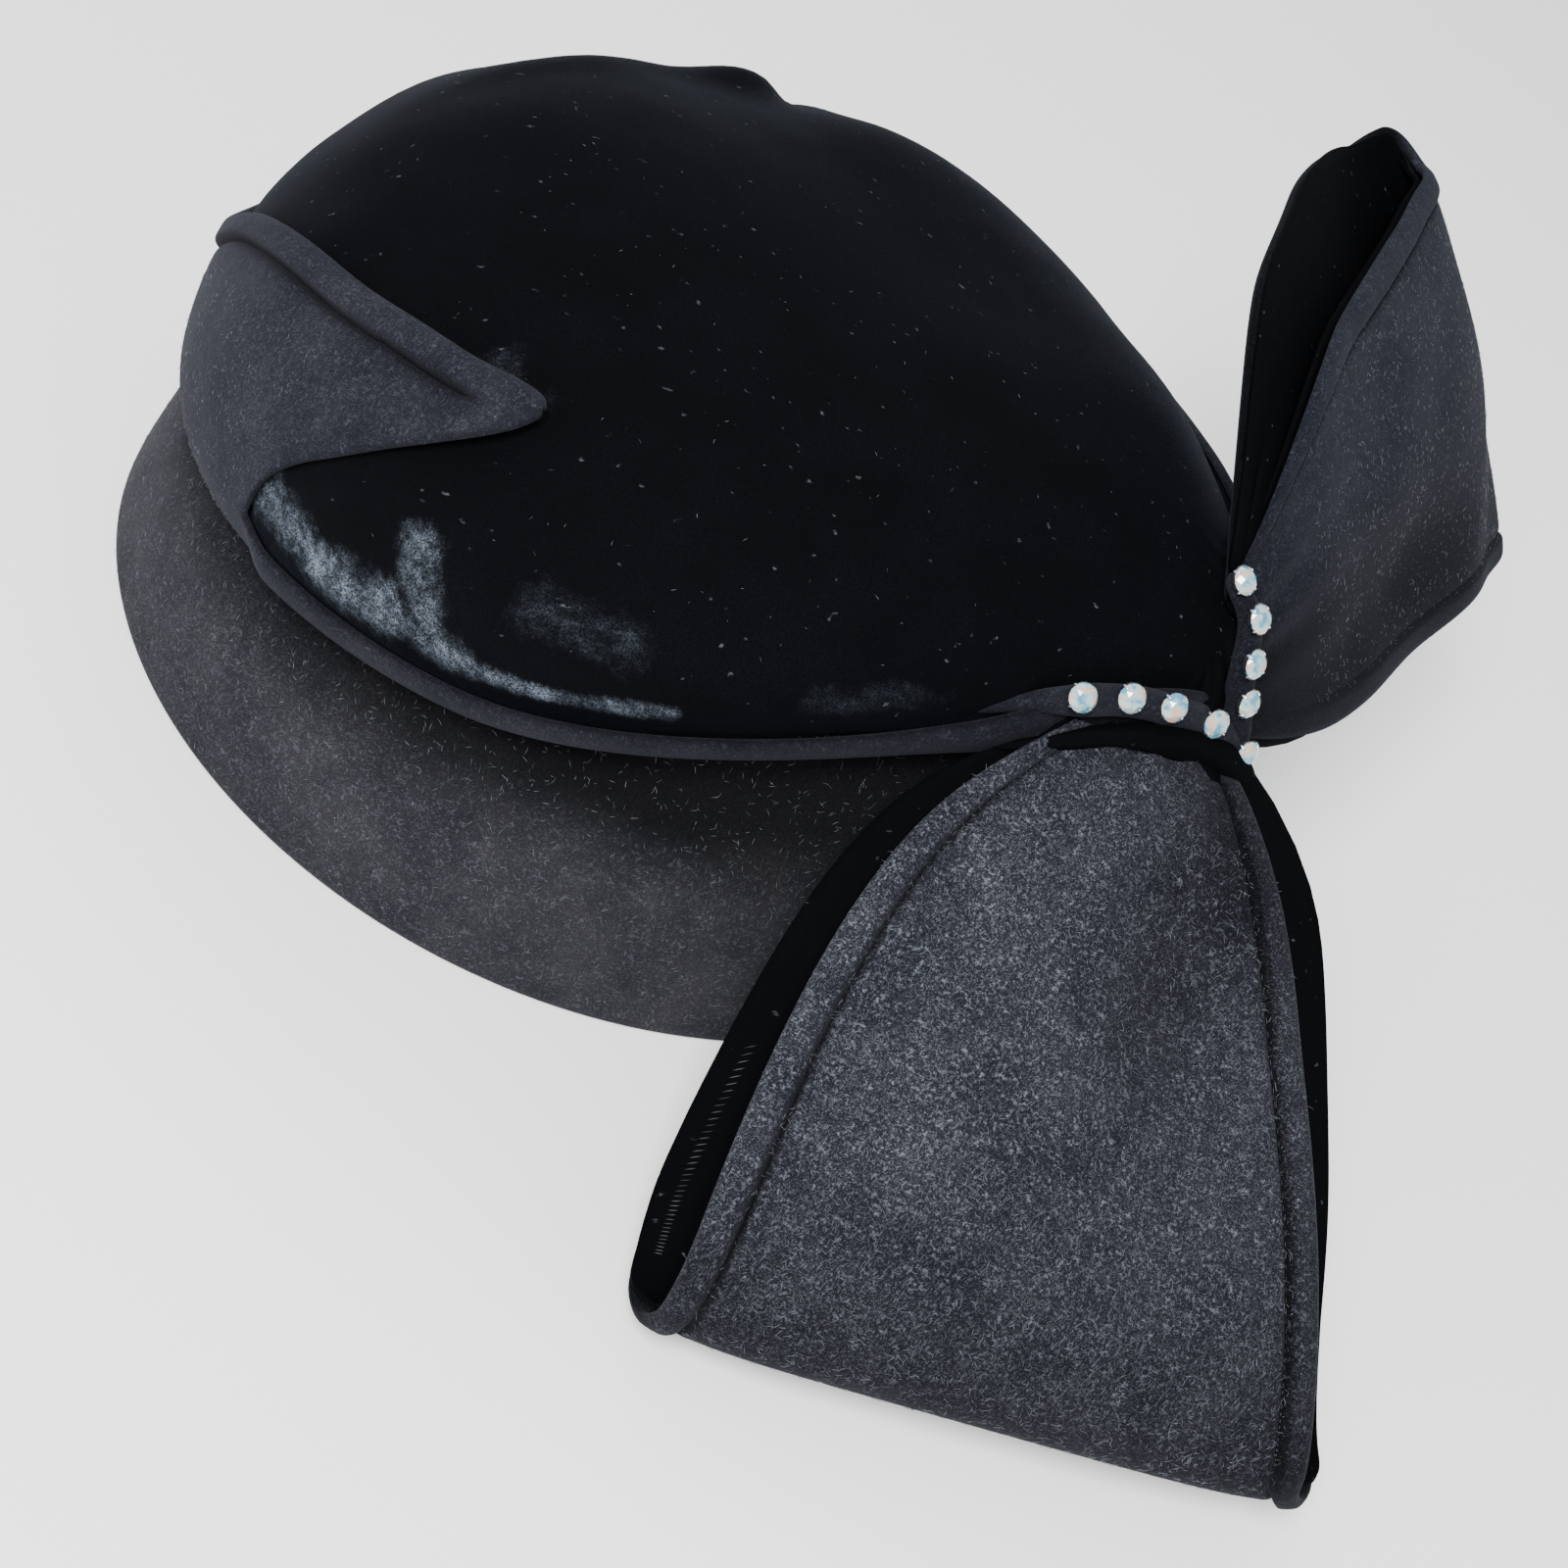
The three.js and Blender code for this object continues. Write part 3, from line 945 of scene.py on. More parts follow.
@dataclass
class Crown:
    """Velvet dome."""

    form: CrownForm
    cloth: float = 1.4
    columns: int = 200
    rows: int = 64

    def build(self, velvet: bpy.types.Material) -> bpy.types.Object:
        """Builds the crown in place of its solid.

        Args:
            velvet: its material.

        Returns:
            The piece.
        """
        lifts = spaced(self.form.seam_lift, math.pi / 2, self.rows)
        angles = spaced(0.0, 2.0 * math.pi, self.columns)
        piece = new_piece("velvet_crown", cloth_grid(angles, lifts, self.face()), velvet)
        give_thickness(piece, self.cloth, 0)
        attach(piece, "root")
        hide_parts("crown")
        return piece

    def face(self) -> Surface:
        """Outer face of the velvet, with the ripples of gathered cloth.

        Returns:
            The face over the angle round the crown and the lift.
        """

        def skin(angle: float, lift: float) -> Vector:
            """Place on the rippled dome.

            Args:
                angle: angle round the crown.
                lift: as in plain.

            Returns:
                The place in millimetres.
            """
            place = self.form.point(angle, lift)
            ripple = noise.noise(place / 26.0) * 0.9 + noise.noise(place / 11.0) * 0.2
            tuck = smooth(-0.42, -0.3, lift) * (1.0 - smooth(1.2, 1.5, lift))
            from_knot = (place - KNOT_MIDDLE).length
            gather = math.sin(angle * 46.0 + lift * 3.0) * 0.35 * bell(from_knot, 6.0, 18.0)
            upward = 60.0 * math.sin(max(lift, 0.0))
            outward = Vector((place.x - self.form.centre_x, place.y - self.form.centre_y, upward))
            return place + outward.normalized() * (ripple + gather) * tuck

        return skin


# Brim


@dataclass
class Brim:
    """Felt wall from its rolled lower edge up to the seam.

    The crease is a table of (turn in degrees, share of the height).
    """

    crown: CrownForm
    half_length: float = 114.5
    half_width: float = 104.5
    belly: float = 3.0
    tuck: float = 4.5
    inset: float = 3.4
    cloth: float = 2.0
    columns: int = 220
    crease: tuple[tuple[float, float], ...] = (
        (-100.0, 0.98),
        (-80.0, 0.80),
        (-66.0, 0.52),
        (-52.0, 0.36),
        (-40.0, 0.30),
    )

    def outside(self, angle: float, share: float) -> Vector:
        """Place on the brim's outer face at a share of its height.

        Args:
            angle: angle round the crown's seam in radians.
            share: 0 at the lower edge, 1 at the seam.

        Returns:
            The place in millimetres.
        """
        seam = self.crown.plain(angle, self.crown.seam_lift)
        centre = Vector((self.crown.centre_x, self.crown.centre_y, seam.z))
        inward = (centre - seam).normalized()
        top = seam + inward * self.inset + Vector((0.0, 0.0, self.tuck))
        bearing = math.atan2(seam.y / self.half_width, seam.x / self.half_length)
        foot = Vector((self.half_length * math.cos(bearing), self.half_width * math.sin(bearing), 0.0))
        place = foot.lerp(top, share)
        swell = self.belly * math.sin(math.pi * share)
        soft = noise.noise(place / 38.0) * 1.3 + noise.noise(place / 15.0) * 0.25
        soft *= smooth(0.02, 0.25, share) * (1.0 - smooth(0.8, 0.95, share))
        turn = math.degrees(angle) % 360.0 - 360.0
        under = smooth(0.70, 0.93, share) * (1.0 + 3.4 * bell(turn, -85.0, 60.0))
        return place - inward * (swell + soft + self.ridge(turn, share) - under)

    def ridge(self, turn: float, share: float) -> float:
        """Height of the soft crease that crosses the near side, at a turn from -360 to 0.

        Args:
            turn: place round the brim in degrees.
            share: share of the brim's height.

        Returns:
            How far the felt stands out in millimetres.
        """
        line = curve_through(self.crease, turn)
        reach = smooth(-98.0, -78.0, turn) * (1.0 - smooth(-50.0, -38.0, turn))
        away = share - line
        return reach * (1.3 * bell(away, -0.03, 0.10) - 2.4 * bell(away, 0.20, 0.18))

    def shade(self, angle: float, share: float) -> float:
        """Darkening under the band and above the crease.

        Args:
            angle: angle round the seam in radians.
            share: share of the brim's height.

        Returns:
            The darkening, from 0 to 0.95.
        """
        turn = math.degrees(angle) % 360.0 - 360.0
        near = bell(turn, -80.0, 62.0)
        line = curve_through(self.crease, turn)
        reach = smooth(-98.0, -78.0, turn) * (1.0 - smooth(-44.0, -34.0, turn))
        above = smooth(-0.02, 0.10, share - line) * reach * 0.42
        return min(DARKEST, 0.94 * smooth(0.44, 0.78, share) * (0.35 + 0.65 * near) + above)

    def section(self) -> list[tuple[float, float]]:
        """Closed outline of the wall as (share of height, depth under the outer face).

        Returns:
            The outline's corners, the first of them repeated at the end.
        """
        outer = [(0.022, 0.0), (0.05, 0.0), (0.1, 0.0)] + [(s, 0.0) for s in spaced(0.16, 1.0, 22)]
        inner = [(s, self.cloth) for s in spaced(1.0, 0.1, 14)] + [(0.05, self.cloth), (0.02, self.cloth)]
        edge = [(0.004, self.cloth * 0.8), (0.0, self.cloth * 0.5), (0.004, self.cloth * 0.2)]
        return outer + inner + edge + outer[:1]

    def build(self, felt: bpy.types.Material) -> bpy.types.Object:
        """Builds the brim in place of its solid.

        Args:
            felt: its material.

        Returns:
            The piece.
        """
        outline = self.section()

        def wall(angle: float, index: float) -> Vector:
            """Place on the closed wall at one corner of its outline.

            Args:
                angle: angle round the seam.
                index: number of the corner.

            Returns:
                The place in millimetres.
            """
            share, depth = outline[int(index)]
            place = self.outside(angle, share)
            inward = Vector((self.crown.centre_x - place.x, self.crown.centre_y - place.y, 0.0))
            return place + inward.normalized() * depth

        def shade(angle: float, index: float) -> float:
            """Darkening at one corner of the outline."""
            return self.shade(angle, outline[int(index)][0])

        angles = spaced(0.0, 2.0 * math.pi, self.columns)
        form = cloth_grid(angles, [float(i) for i in range(len(outline))], wall, shade)
        piece = new_piece("felt_brim", form, felt)
        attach(piece, "root")
        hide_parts("brim")
        return piece


# Band


@dataclass
class Band:
    """Felt sash round the crown, with a stitched upper edge and a free point on the near side.

    Each edge is a table of (turn in degrees round the crown, lift). At the fork the broad cloth
    splits into the point above and a narrow piping below. Pairs are turns between which a
    change happens.
    """

    crown: CrownForm
    fork: float = 239.5
    fork_lift: float = -0.045
    low: float = -0.53
    cloth: float = 1.6
    proud: float = 2.5
    top_edge: tuple[tuple[float, float], ...] = (
        (16.0, 0.36),
        (40.0, 0.30),
        (80.0, 0.20),
        (120.0, 0.12),
        (165.0, 0.10),
        (182.0, 0.11),
        (195.0, 0.21),
        (208.0, 0.43),
        (220.0, 0.57),
        (234.0, 0.67),
        (241.0, 0.715),
        (247.0, 0.745),
        (254.0, 0.775),
        (258.5, 0.785),
        (260.6, 0.778),
        (261.6, 0.758),
    )
    point_edge: tuple[tuple[float, float], ...] = (
        (239.5, -0.045),
        (239.9, 0.05),
        (241.0, 0.125),
        (243.3, 0.21),
        (247.0, 0.315),
        (251.0, 0.43),
        (254.5, 0.52),
        (258.5, 0.62),
        (260.6, 0.685),
        (261.6, 0.735),
    )
    narrow_edge: tuple[tuple[float, float], ...] = (
        (239.5, -0.045),
        (240.1, -0.085),
        (242.2, -0.125),
        (250.0, -0.16),
        (266.0, -0.19),
        (296.0, -0.18),
        (306.0, -0.11),
        (314.0, 0.01),
        (321.0, 0.10),
        (330.0, 0.10),
        (339.0, 0.04),
        (346.0, -0.06),
    )
    groove_end: tuple[float, float] = (251.0, 257.0)
    point_rise: float = 2.4
    point_rises: tuple[float, float] = (248.0, 259.0)
    piping_lift: float = 1.2
    piping_lifts: tuple[float, float] = (306.0, 322.0)
    narrow_rows: int = 10
    broad_rows: int = 12

    def ground(self, turn: float, lift: float) -> Vector:
        """Place on the crown under the band, with the turn in degrees."""
        return self.crown.point(math.radians(turn), lift)

    def lay(self, turn: float, lift: float, proud: float) -> Vector:
        """Place at a height over the crown."""
        normal = surface_normal(self.crown.point, math.radians(turn), lift)
        return self.ground(turn, lift) + normal * proud

    def lifts_under_edge(self, turn: float, top: float, floor: float) -> list[float]:
        """Lifts of the rows from a floor up to the stitched edge.

        Args:
            turn: place round the crown in degrees.
            top: lift of the edge.
            floor: lift where the rows start.

        Returns:
            The lifts in rising order; the last ones lie at the tuck's own distances.
        """
        length = (self.ground(turn, top) - self.ground(turn, floor)).length
        rate = max(length, 1e-3) / max(top - floor, 1e-4)
        squeeze = min(1.0, length / (TUCK_ROWS[-1] * 1.25))
        near = [top - away * squeeze / rate for away in reversed(TUCK_ROWS)]
        plain = spaced(floor, near[0], self.broad_rows)[:-1]
        return plain + near

    def from_edge(self, count: int, index: float) -> float:
        """Distance of a row from the stitched edge, far for the rows below the tuck."""
        row = count - 1 - int(index)
        return TUCK_ROWS[row] if row < len(TUCK_ROWS) else PAST_TUCK

    def relief(self, turn: float, lift: float, away: float, low: float) -> float:
        """Height over the crown of the broad cloth and its tuck.

        Args:
            turn: place round the crown in degrees.
            lift: lift of the place.
            away: distance from the stitched edge.
            low: lift of the cloth's lower edge.

        Returns:
            The height in millimetres.
        """
        under = (self.ground(turn, lift) - self.ground(turn, low)).length
        closed = 1.0 - smooth(*self.groove_end, turn)
        height = self.proud + tuck_relief(away, groove=1.9 * closed)
        height -= 1.2 * (1.0 - math.sqrt(smooth(-0.3, 2.4, under)))
        height += self.point_rise * smooth(*self.point_rises, turn)
        return height + noise.noise(self.ground(turn, lift) / 24.0) * 0.7

    def build_sheet(self) -> bmesh.types.BMesh:
        """The broad cloth, its point and the narrow stretch as one forked sheet.

        Returns:
            The sheet's bmesh.
        """
        broad_turns = spaced(self.top_edge[0][0], 228.0, 106) + spaced(229.0, self.fork, 9)
        free = self.top_edge[-1][0] - self.fork
        point_turns = [self.fork + free * (1.0 - (1.0 - i / 36) ** 1.6) ** 1.35 for i in range(37)]
        narrow_turns = [self.fork + 12.0 * (i / 16) ** 1.5 for i in range(17)]
        narrow_turns += spaced(252.0, self.narrow_edge[-1][0], 60)
        fork_floor, fork_top = self.low, curve_through(self.top_edge, self.fork)
        share = (self.fork_lift - fork_floor) / (fork_top - fork_floor)

        def rows_of(turn: float, part: Stretch) -> list[float]:
            """Lifts of all rows at one place.

            Args:
                turn: place round the crown in degrees.
                part: the part of the band.

            Returns:
                The lifts in rising order.
            """
            if part is Stretch.NARROW:
                edge = curve_through(self.narrow_edge, turn)
                return spaced(self.low, edge, self.narrow_rows)
            top = curve_through(self.top_edge, turn)
            if part is Stretch.POINT:
                return self.lifts_under_edge(turn, top, curve_through(self.point_edge, turn))
            middle = lerp(self.low, top, share)
            lower = spaced(self.low, middle, self.narrow_rows)
            return lower[:-1] + self.lifts_under_edge(turn, top, middle)

        def part_form(part: Stretch, turns: Sequence[float]) -> bmesh.types.BMesh:
            """One part of the sheet as a grid.

            Args:
                part: the part of the band.
                turns: its columns, in degrees.

            Returns:
                The part's bmesh.
            """
            columns = {turn: rows_of(turn, part) for turn in turns}
            count = len(columns[turns[0]])

            def cloth(turn: float, index: float) -> Vector:
                """Place of one row at one turn.

                Args:
                    turn: the column's turn in degrees.
                    index: number of the row.

                Returns:
                    The place in millimetres.
                """
                rows = columns[turn]
                lift = rows[int(index)]
                if part is Stretch.NARROW:
                    edge = rows[-1]
                    blend = smooth(self.fork, self.fork + 5.0, turn)
                    wide = self.relief(turn, lift, PAST_TUCK, self.low)
                    share_up = (lift - self.low) / (edge - self.low)
                    puff = self.proud + 0.4 + 1.9 * math.sqrt(max(0.0, math.sin(math.pi * share_up)))
                    puff += self.piping_lift * smooth(*self.piping_lifts, turn)
                    return self.lay(turn, lift, lerp(wide, puff, blend))
                away = self.from_edge(count, index)
                low = self.low if part is Stretch.BROAD else curve_through(self.point_edge, turn)
                height = self.relief(turn, lift, away, low)
                if part is Stretch.POINT:
                    blend = smooth(self.fork, self.fork + 4.0, turn)
                    height = lerp(self.relief(turn, lift, away, self.low), height, blend)
                return self.lay(turn, lift, height)

            def shade(turn: float, index: float) -> float:
                """Darkening of one row at one turn: the stitched line and the lower edges.

                Args:
                    turn: the column's turn in degrees.
                    index: number of the row.

                Returns:
                    The darkening, from 0 to 0.95.
                """
                rows = columns[turn]
                lift = rows[int(index)]
                ground = self.ground(turn, lift)
                if part is Stretch.NARROW:
                    edge = (self.ground(turn, rows[-1]) - ground).length
                    low = (self.ground(turn, self.low) - ground).length
                    beyond = 0.34 * smooth(241.0, 252.0, turn)
                    beside = 0.6 * (1.0 - smooth(0.0, 2.2, low)) + 0.4 * (1.0 - smooth(0.0, 1.2, edge))
                    return min(DARKEST, beyond + beside)
                away = self.from_edge(count, index)
                floor = self.low if part is Stretch.BROAD else curve_through(self.point_edge, turn)
                low = (self.ground(turn, floor) - ground).length
                line = 0.95 * bell(away, 7.35, 0.95) + 0.3 * bell(away, 8.6, 1.6)
                line *= 1.0 - smooth(251.0, 256.0, turn)
                return min(DARKEST, line + 0.55 * (1.0 - smooth(0.0, 3.0, low)))

            return cloth_grid(turns, [float(i) for i in range(count)], cloth, shade)

        return join_forms(
            part_form(Stretch.BROAD, broad_turns),
            part_form(Stretch.POINT, point_turns),
            part_form(Stretch.NARROW, narrow_turns),
        )

    def build(self, felt: bpy.types.Material) -> bpy.types.Object:
        """Builds the band in place of its solid.

        Args:
            felt: its material.

        Returns:
            The piece.
        """
        piece = new_piece("felt_band", self.build_sheet(), felt)
        give_thickness(piece, self.cloth)
        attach(piece, "root")
        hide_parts("band")
        return piece


# Bow


@dataclass(frozen=True)
class Swell:
    """A soft hill, hollow or shadow on a loop, round a place on its strip."""

    turn: float
    across: float
    turn_width: float
    across_width: float
    depth: float

    def at(self, turn: float, across: float) -> float:
        """Its height or strength at a place on the strip."""
        lengthwise = self.depth * bell(turn, self.turn, self.turn_width)
        return lengthwise * bell(across, self.across, self.across_width)


@dataclass(frozen=True)
class LoopForm:
    """Outer surface of one bow loop: a strip folded over and gathered at the knot.

    The strip's edges run from the base corners to the fold corners and back. Flare is how far
    they spread on the way, under how far the lower strand is wider, and gap half the distance
    between the strands, all in millimetres. The tucks fields are 1 for a full stitched edge.
    """

    name: str
    base_left: tuple[float, float, float]
    base_right: tuple[float, float, float]
    fold_left: tuple[float, float, float]
    fold_right: tuple[float, float, float]
    flare_left: float
    flare_right: float
    under_left: float
    under_right: float
    arch: float
    tie_left: tuple[float, float, float]
    tie_right: tuple[float, float, float]
    dimples: tuple[Swell, ...] = ()
    shadows: tuple[Swell, ...] = ()
    under_turns: tuple[float, float] = (0.8, 1.5)
    under_gap: float = 0.0
    half_gap: float = 13.0
    base_half_gap: float = 4.2
    flare_early: float = 0.8
    gathers: float = 1.6
    tucks: tuple[float, float] = (1.0, 1.0)
    under_lag: float = 0.0

    def edges(self, turn: float) -> tuple[Vector, Vector, Vector, Vector]:
        """Left and right edge, sideways and outward directions at a turn of the strip.

        Args:
            turn: 0 at the knot, half a turn at the fold.

        Returns:
            The two edges in millimetres and the two directions.
        """
        corners = [Vector(c) for c in (self.base_left, self.base_right, self.fold_left, self.fold_right)]
        base = (corners[0] + corners[1]) * 0.5
        fold = (corners[2] + corners[3]) * 0.5
        along = (fold - base).normalized()
        sideways = (corners[3] - corners[2]).normalized()
        outward = -sideways.cross(along).normalized()
        reach = math.sin(turn / 2.0)
        first, last = self.under_turns
        under = smooth(math.pi * first, math.pi * last, turn) * (1.0 - self.under_lag)
        under += smooth(math.pi * (last + 0.2), math.pi * (last + 0.6), turn) * self.under_lag
        widen = math.sin(math.pi * abs(reach) ** self.flare_early)
        left = corners[0].lerp(corners[2], reach) - sideways * (
            self.flare_left * widen + self.under_left * under
        )
        right = corners[1].lerp(corners[3], reach) + sideways * (
            self.flare_right * widen + self.under_right * under
        )
        return left, right, sideways, outward

    def shadow(self, turn: float, across: float) -> float:
        """Darkening of the felt in its soft hollows and towards its shaded side."""
        return sum(swell.at(turn, across) for swell in self.shadows)

    def width(self, turn: float) -> float:
        """Distance between the two edges."""
        left, right, _, _ = self.edges(turn)
        return (right - left).length

    def point(self, turn: float, across: float) -> Vector:
        """Place on the strip's outer face.

        Args:
            turn: 0 at the knot, half a turn at the fold, a whole turn back at the knot.
            across: -1 at the left edge and 1 at the right edge.

        Returns:
            The place in millimetres.
        """
        left, right, _, outward = self.edges(turn)
        reach = math.sin(turn / 2.0)
        place = left.lerp(right, (across + 1.0) / 2.0)
        tied = math.exp(-((max(reach, 0.0) / 0.09) ** 2))
        tie = Vector(self.tie_left).lerp(Vector(self.tie_right), (across + 1.0) / 2.0)
        place = place.lerp(tie, tied)
        gap = self.half_gap + self.under_gap * smooth(0.0, 0.5, -math.sin(turn))
        half_gap = gap * math.sin(turn) * abs(reach) ** 1.2
        base_gap = self.base_half_gap * math.cos(turn / 2.0) * (1.0 - 0.6 * tied)
        arch = self.arch * (1.0 - across**2) * math.sin(math.pi * reach * 0.85)
        corner = 3.4 * abs(across) ** 7 * smooth(0.75, 1.0, reach)
        pull = (Vector(self.base_left) + Vector(self.base_right)) * 0.5 - place
        pleat = math.cos(across * 13.0 + 0.8 * math.sin(across * 4.0)) * self.gathers
        pleat *= math.exp(-max(reach, 0.0) / 0.2) * (1.0 - across**4)
        soft = noise.noise(place / 34.0 + Vector((turn, 0.0, 0.0))) * 1.7 * smooth(0.05, 0.3, reach)
        height = half_gap + base_gap + arch + pleat + soft
        for swell in self.dimples:
            height += swell.at(turn, across)
        return place + outward * height + pull.normalized() * corner


@dataclass
class BowLoop:
    """Felt loop with stitched edges and its velvet lining."""

    form: LoopForm
    felt_cloth: float = 1.8
    lining_cloth: float = 0.8
    lining_gap: float = 0.5
    start: float = 0.02
    columns: int = 96
    middle_rows: int = 22

    def turns(self) -> list[float]:
        """Columns along the strip."""
        return spaced(self.start, 2.0 * math.pi - self.start, self.columns)

    def rows_at(self, turn: float) -> list[float]:
        """Rows across the strip, close together along both tucks.

        Args:
            turn: the column's turn.

        Returns:
            The rows from -1 at the left edge to 1 at the right edge.
        """
        width = self.form.width(turn)
        squeeze = min(1.0, width / 46.0)
        left = [-1.0 + 2.0 * away * squeeze / width for away in TUCK_ROWS]
        right = [-value for value in reversed(left)]
        return left + spaced(left[-1], right[0], self.middle_rows)[1:-1] + right

    def build_felt(self, felt: bpy.types.Material) -> bpy.types.Object:
        """Builds the felt in place of its solid.

        Args:
            felt: its material.

        Returns:
            The piece.
        """
        columns = {turn: self.rows_at(turn) for turn in self.turns()}
        count = len(next(iter(columns.values())))

        def cloth(turn: float, index: float) -> Vector:
            """Place on the felt with the relief of its tucks.

            Args:
                turn: the column's turn.
                index: number of the row.

            Returns:
                The place in millimetres.
            """
            across = columns[turn][int(index)]
            width = self.form.width(turn)
            away = (1.0 - abs(across)) * width / 2.0
            fade = smooth(0.0, 0.2, math.sin(turn / 2.0))
            fade *= self.form.tucks[0 if across < 0.0 else 1]
            relief = tuck_relief(away, height=1.5 * fade, groove=1.7 * fade)
            normal = surface_normal(self.form.point, turn, across)
            return self.form.point(turn, across) + normal * relief

        def shade(turn: float, index: float) -> float:
            """Darkening along the stitched lines, in the gathers and on the under strand.

            Args:
                turn: the column's turn.
                index: number of the row.

            Returns:
                The darkening, from 0 to 0.95.
            """
            across = columns[turn][int(index)]
            away = (1.0 - abs(across)) * self.form.width(turn) / 2.0
            reach = math.sin(turn / 2.0)
            tuck = self.form.tucks[0 if across < 0.0 else 1]
            line = 0.85 * bell(away, STITCH_LINE, 0.8) * smooth(0.0, 0.2, reach) * tuck
            rim = 0.2 + 0.75 * (1.0 - smooth(0.6, 2.4, away))
            under = smooth(math.pi * 0.96, math.pi * 1.04, turn) * rim
            gathered = 0.6 * math.exp(-reach / 0.08)
            return min(DARKEST, line + under + gathered + self.form.shadow(turn, across))

        form = cloth_grid(list(columns), [float(i) for i in range(count)], cloth, shade)
        piece = new_piece(f"felt_loop_{self.form.name}", form, felt)
        give_thickness(piece, self.felt_cloth)
        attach(piece, "root")
        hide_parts(f"bow_loop_{self.form.name}")
        return piece

    def build_lining(self, velvet: bpy.types.Material) -> bpy.types.Object:
        """Builds the velvet lining in place of its solid.

        Args:
            velvet: its material.

        Returns:
            The piece.
        """
        depth = self.felt_cloth + self.lining_gap

        def cloth(turn: float, across: float) -> Vector:
            """Place on the lining under the felt.

            Args:
                turn: turn of the strip.
                across: -1 at the left edge, 1 at the right edge.

            Returns:
                The place in millimetres.
            """
            wider = smooth(math.pi * 0.97, math.pi * 1.1, turn) * 2.6 / self.form.width(turn)
            across *= 0.985 + wider
            normal = surface_normal(self.form.point, turn, across)
            return self.form.point(turn, across) - normal * depth

        rows = spaced(-1.0, 1.0, 40)
        form = cloth_grid(self.turns(), rows, cloth)
        piece = new_piece(f"velvet_lining_{self.form.name}", form, velvet)
        give_thickness(piece, self.lining_cloth, 0)
        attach(piece, "root")
        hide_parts(f"bow_lining_{self.form.name}")
        return piece


NEAR_LOOP = LoopForm(
    name="near",
    base_left=(95, -55, 95),
    base_right=(125, -39, 90),
    fold_left=(76, -164, 9),
    fold_right=(202, -130, 15),
    flare_left=18.5,
    flare_right=7.5,
    flare_early=0.58,
    under_left=5,
    under_right=9,
    under_turns=(0.87, 1.2),
    half_gap=15,
    arch=9,
    tie_left=(91, -59, 98),
    tie_right=(124, -34, 88),
    gathers=1.1,
    dimples=(
        Swell(0.75, 0.45, 0.4, 0.3, -3.6),
        Swell(1.1, 0.4, 0.5, 0.2, -1.4),
        Swell(1.5, -0.35, 0.5, 0.4, 1.6),
    ),
    shadows=(
        Swell(0.32, 0.7, 0.3, 0.35, 0.60),
        Swell(0.7, 0.3, 0.35, 0.30, 0.50),
        Swell(3.1, 0.0, 1.2, 3.0, 0.78),
        Swell(1.6, 1.0, 2.0, 0.3, 0.25),
    ),
)
FAR_LOOP = LoopForm(
    name="far",
    base_left=(132, -20, 87),
    base_right=(114, -3, 122),
    fold_left=(169, 110, 72),
    fold_right=(99, 108, 150),
    flare_left=4,
    flare_right=22,
    flare_early=0.40,
    under_left=0,
    under_right=20,
    under_turns=(0.86, 1.10),
    under_lag=0.5,
    half_gap=6.5,
    under_gap=1.5,
    arch=5,
    tucks=(0.45, 0.9),
    tie_left=(122, -29, 90),
    tie_right=(104, -19, 118),
    gathers=0.8,
    dimples=(Swell(0.9, -0.5, 0.6, 0.28, -5.0), Swell(1.8, 0.1, 0.6, 0.5, 1.5)),
    shadows=(
        Swell(0.6, -0.35, 0.8, 0.32, 0.55),
        Swell(1.0, -0.75, 2.5, 0.45, 0.70),
        Swell(1.2, 0.0, 2.5, 2.0, 0.14),
    ),
)


# Knot and stones


@dataclass(frozen=True)
class StoneSeat:
    """Where a stone's cup stands and which way the stone faces."""

    place: tuple[float, float, float]
    facing: tuple[float, float, float]

    def under(self, radius: float, drop: float = 0.0) -> tuple[float, ...]:
        """Middle of a roll that carries the cup.

        Args:
            radius: the roll's radius in millimetres.
            drop: how far the roll lies below the cup, as the photograph shows it.

        Returns:
            The place in millimetres.
        """
        facing = Vector(self.facing).normalized()
        above = (facing * 0.35 + TO_CAMERA * 0.65).normalized()
        return tuple(Vector(self.place) - above * (radius - 0.3) - PHOTO_UP * drop)


# The first five stones are the row along the crown, and from the fifth they are the column
CORNER_STONE = 4
STONES: tuple[StoneSeat, ...] = (
    StoneSeat((89.2, -59.5, 104.1), (0.35, -0.7, 0.62)),
    StoneSeat((97.6, -52.4, 104.2), (0.4, -0.7, 0.6)),
    StoneSeat((106.0, -45.6, 102.2), (0.45, -0.7, 0.55)),
    StoneSeat((115.5, -37.6, 97.8), (0.55, -0.68, 0.48)),
    StoneSeat((124.3, -32.8, 91.6), (0.75, -0.6, 0.3)),
    StoneSeat((119.0, -31.7, 101.4), (0.75, -0.5, 0.43)),
    StoneSeat((115.6, -31.3, 109.7), (0.7, -0.45, 0.55)),
    StoneSeat((112.3, -25.5, 115.0), (0.6, -0.38, 0.7)),
    StoneSeat((106.0, -23.5, 119.4), (0.5, -0.35, 0.79)),
)


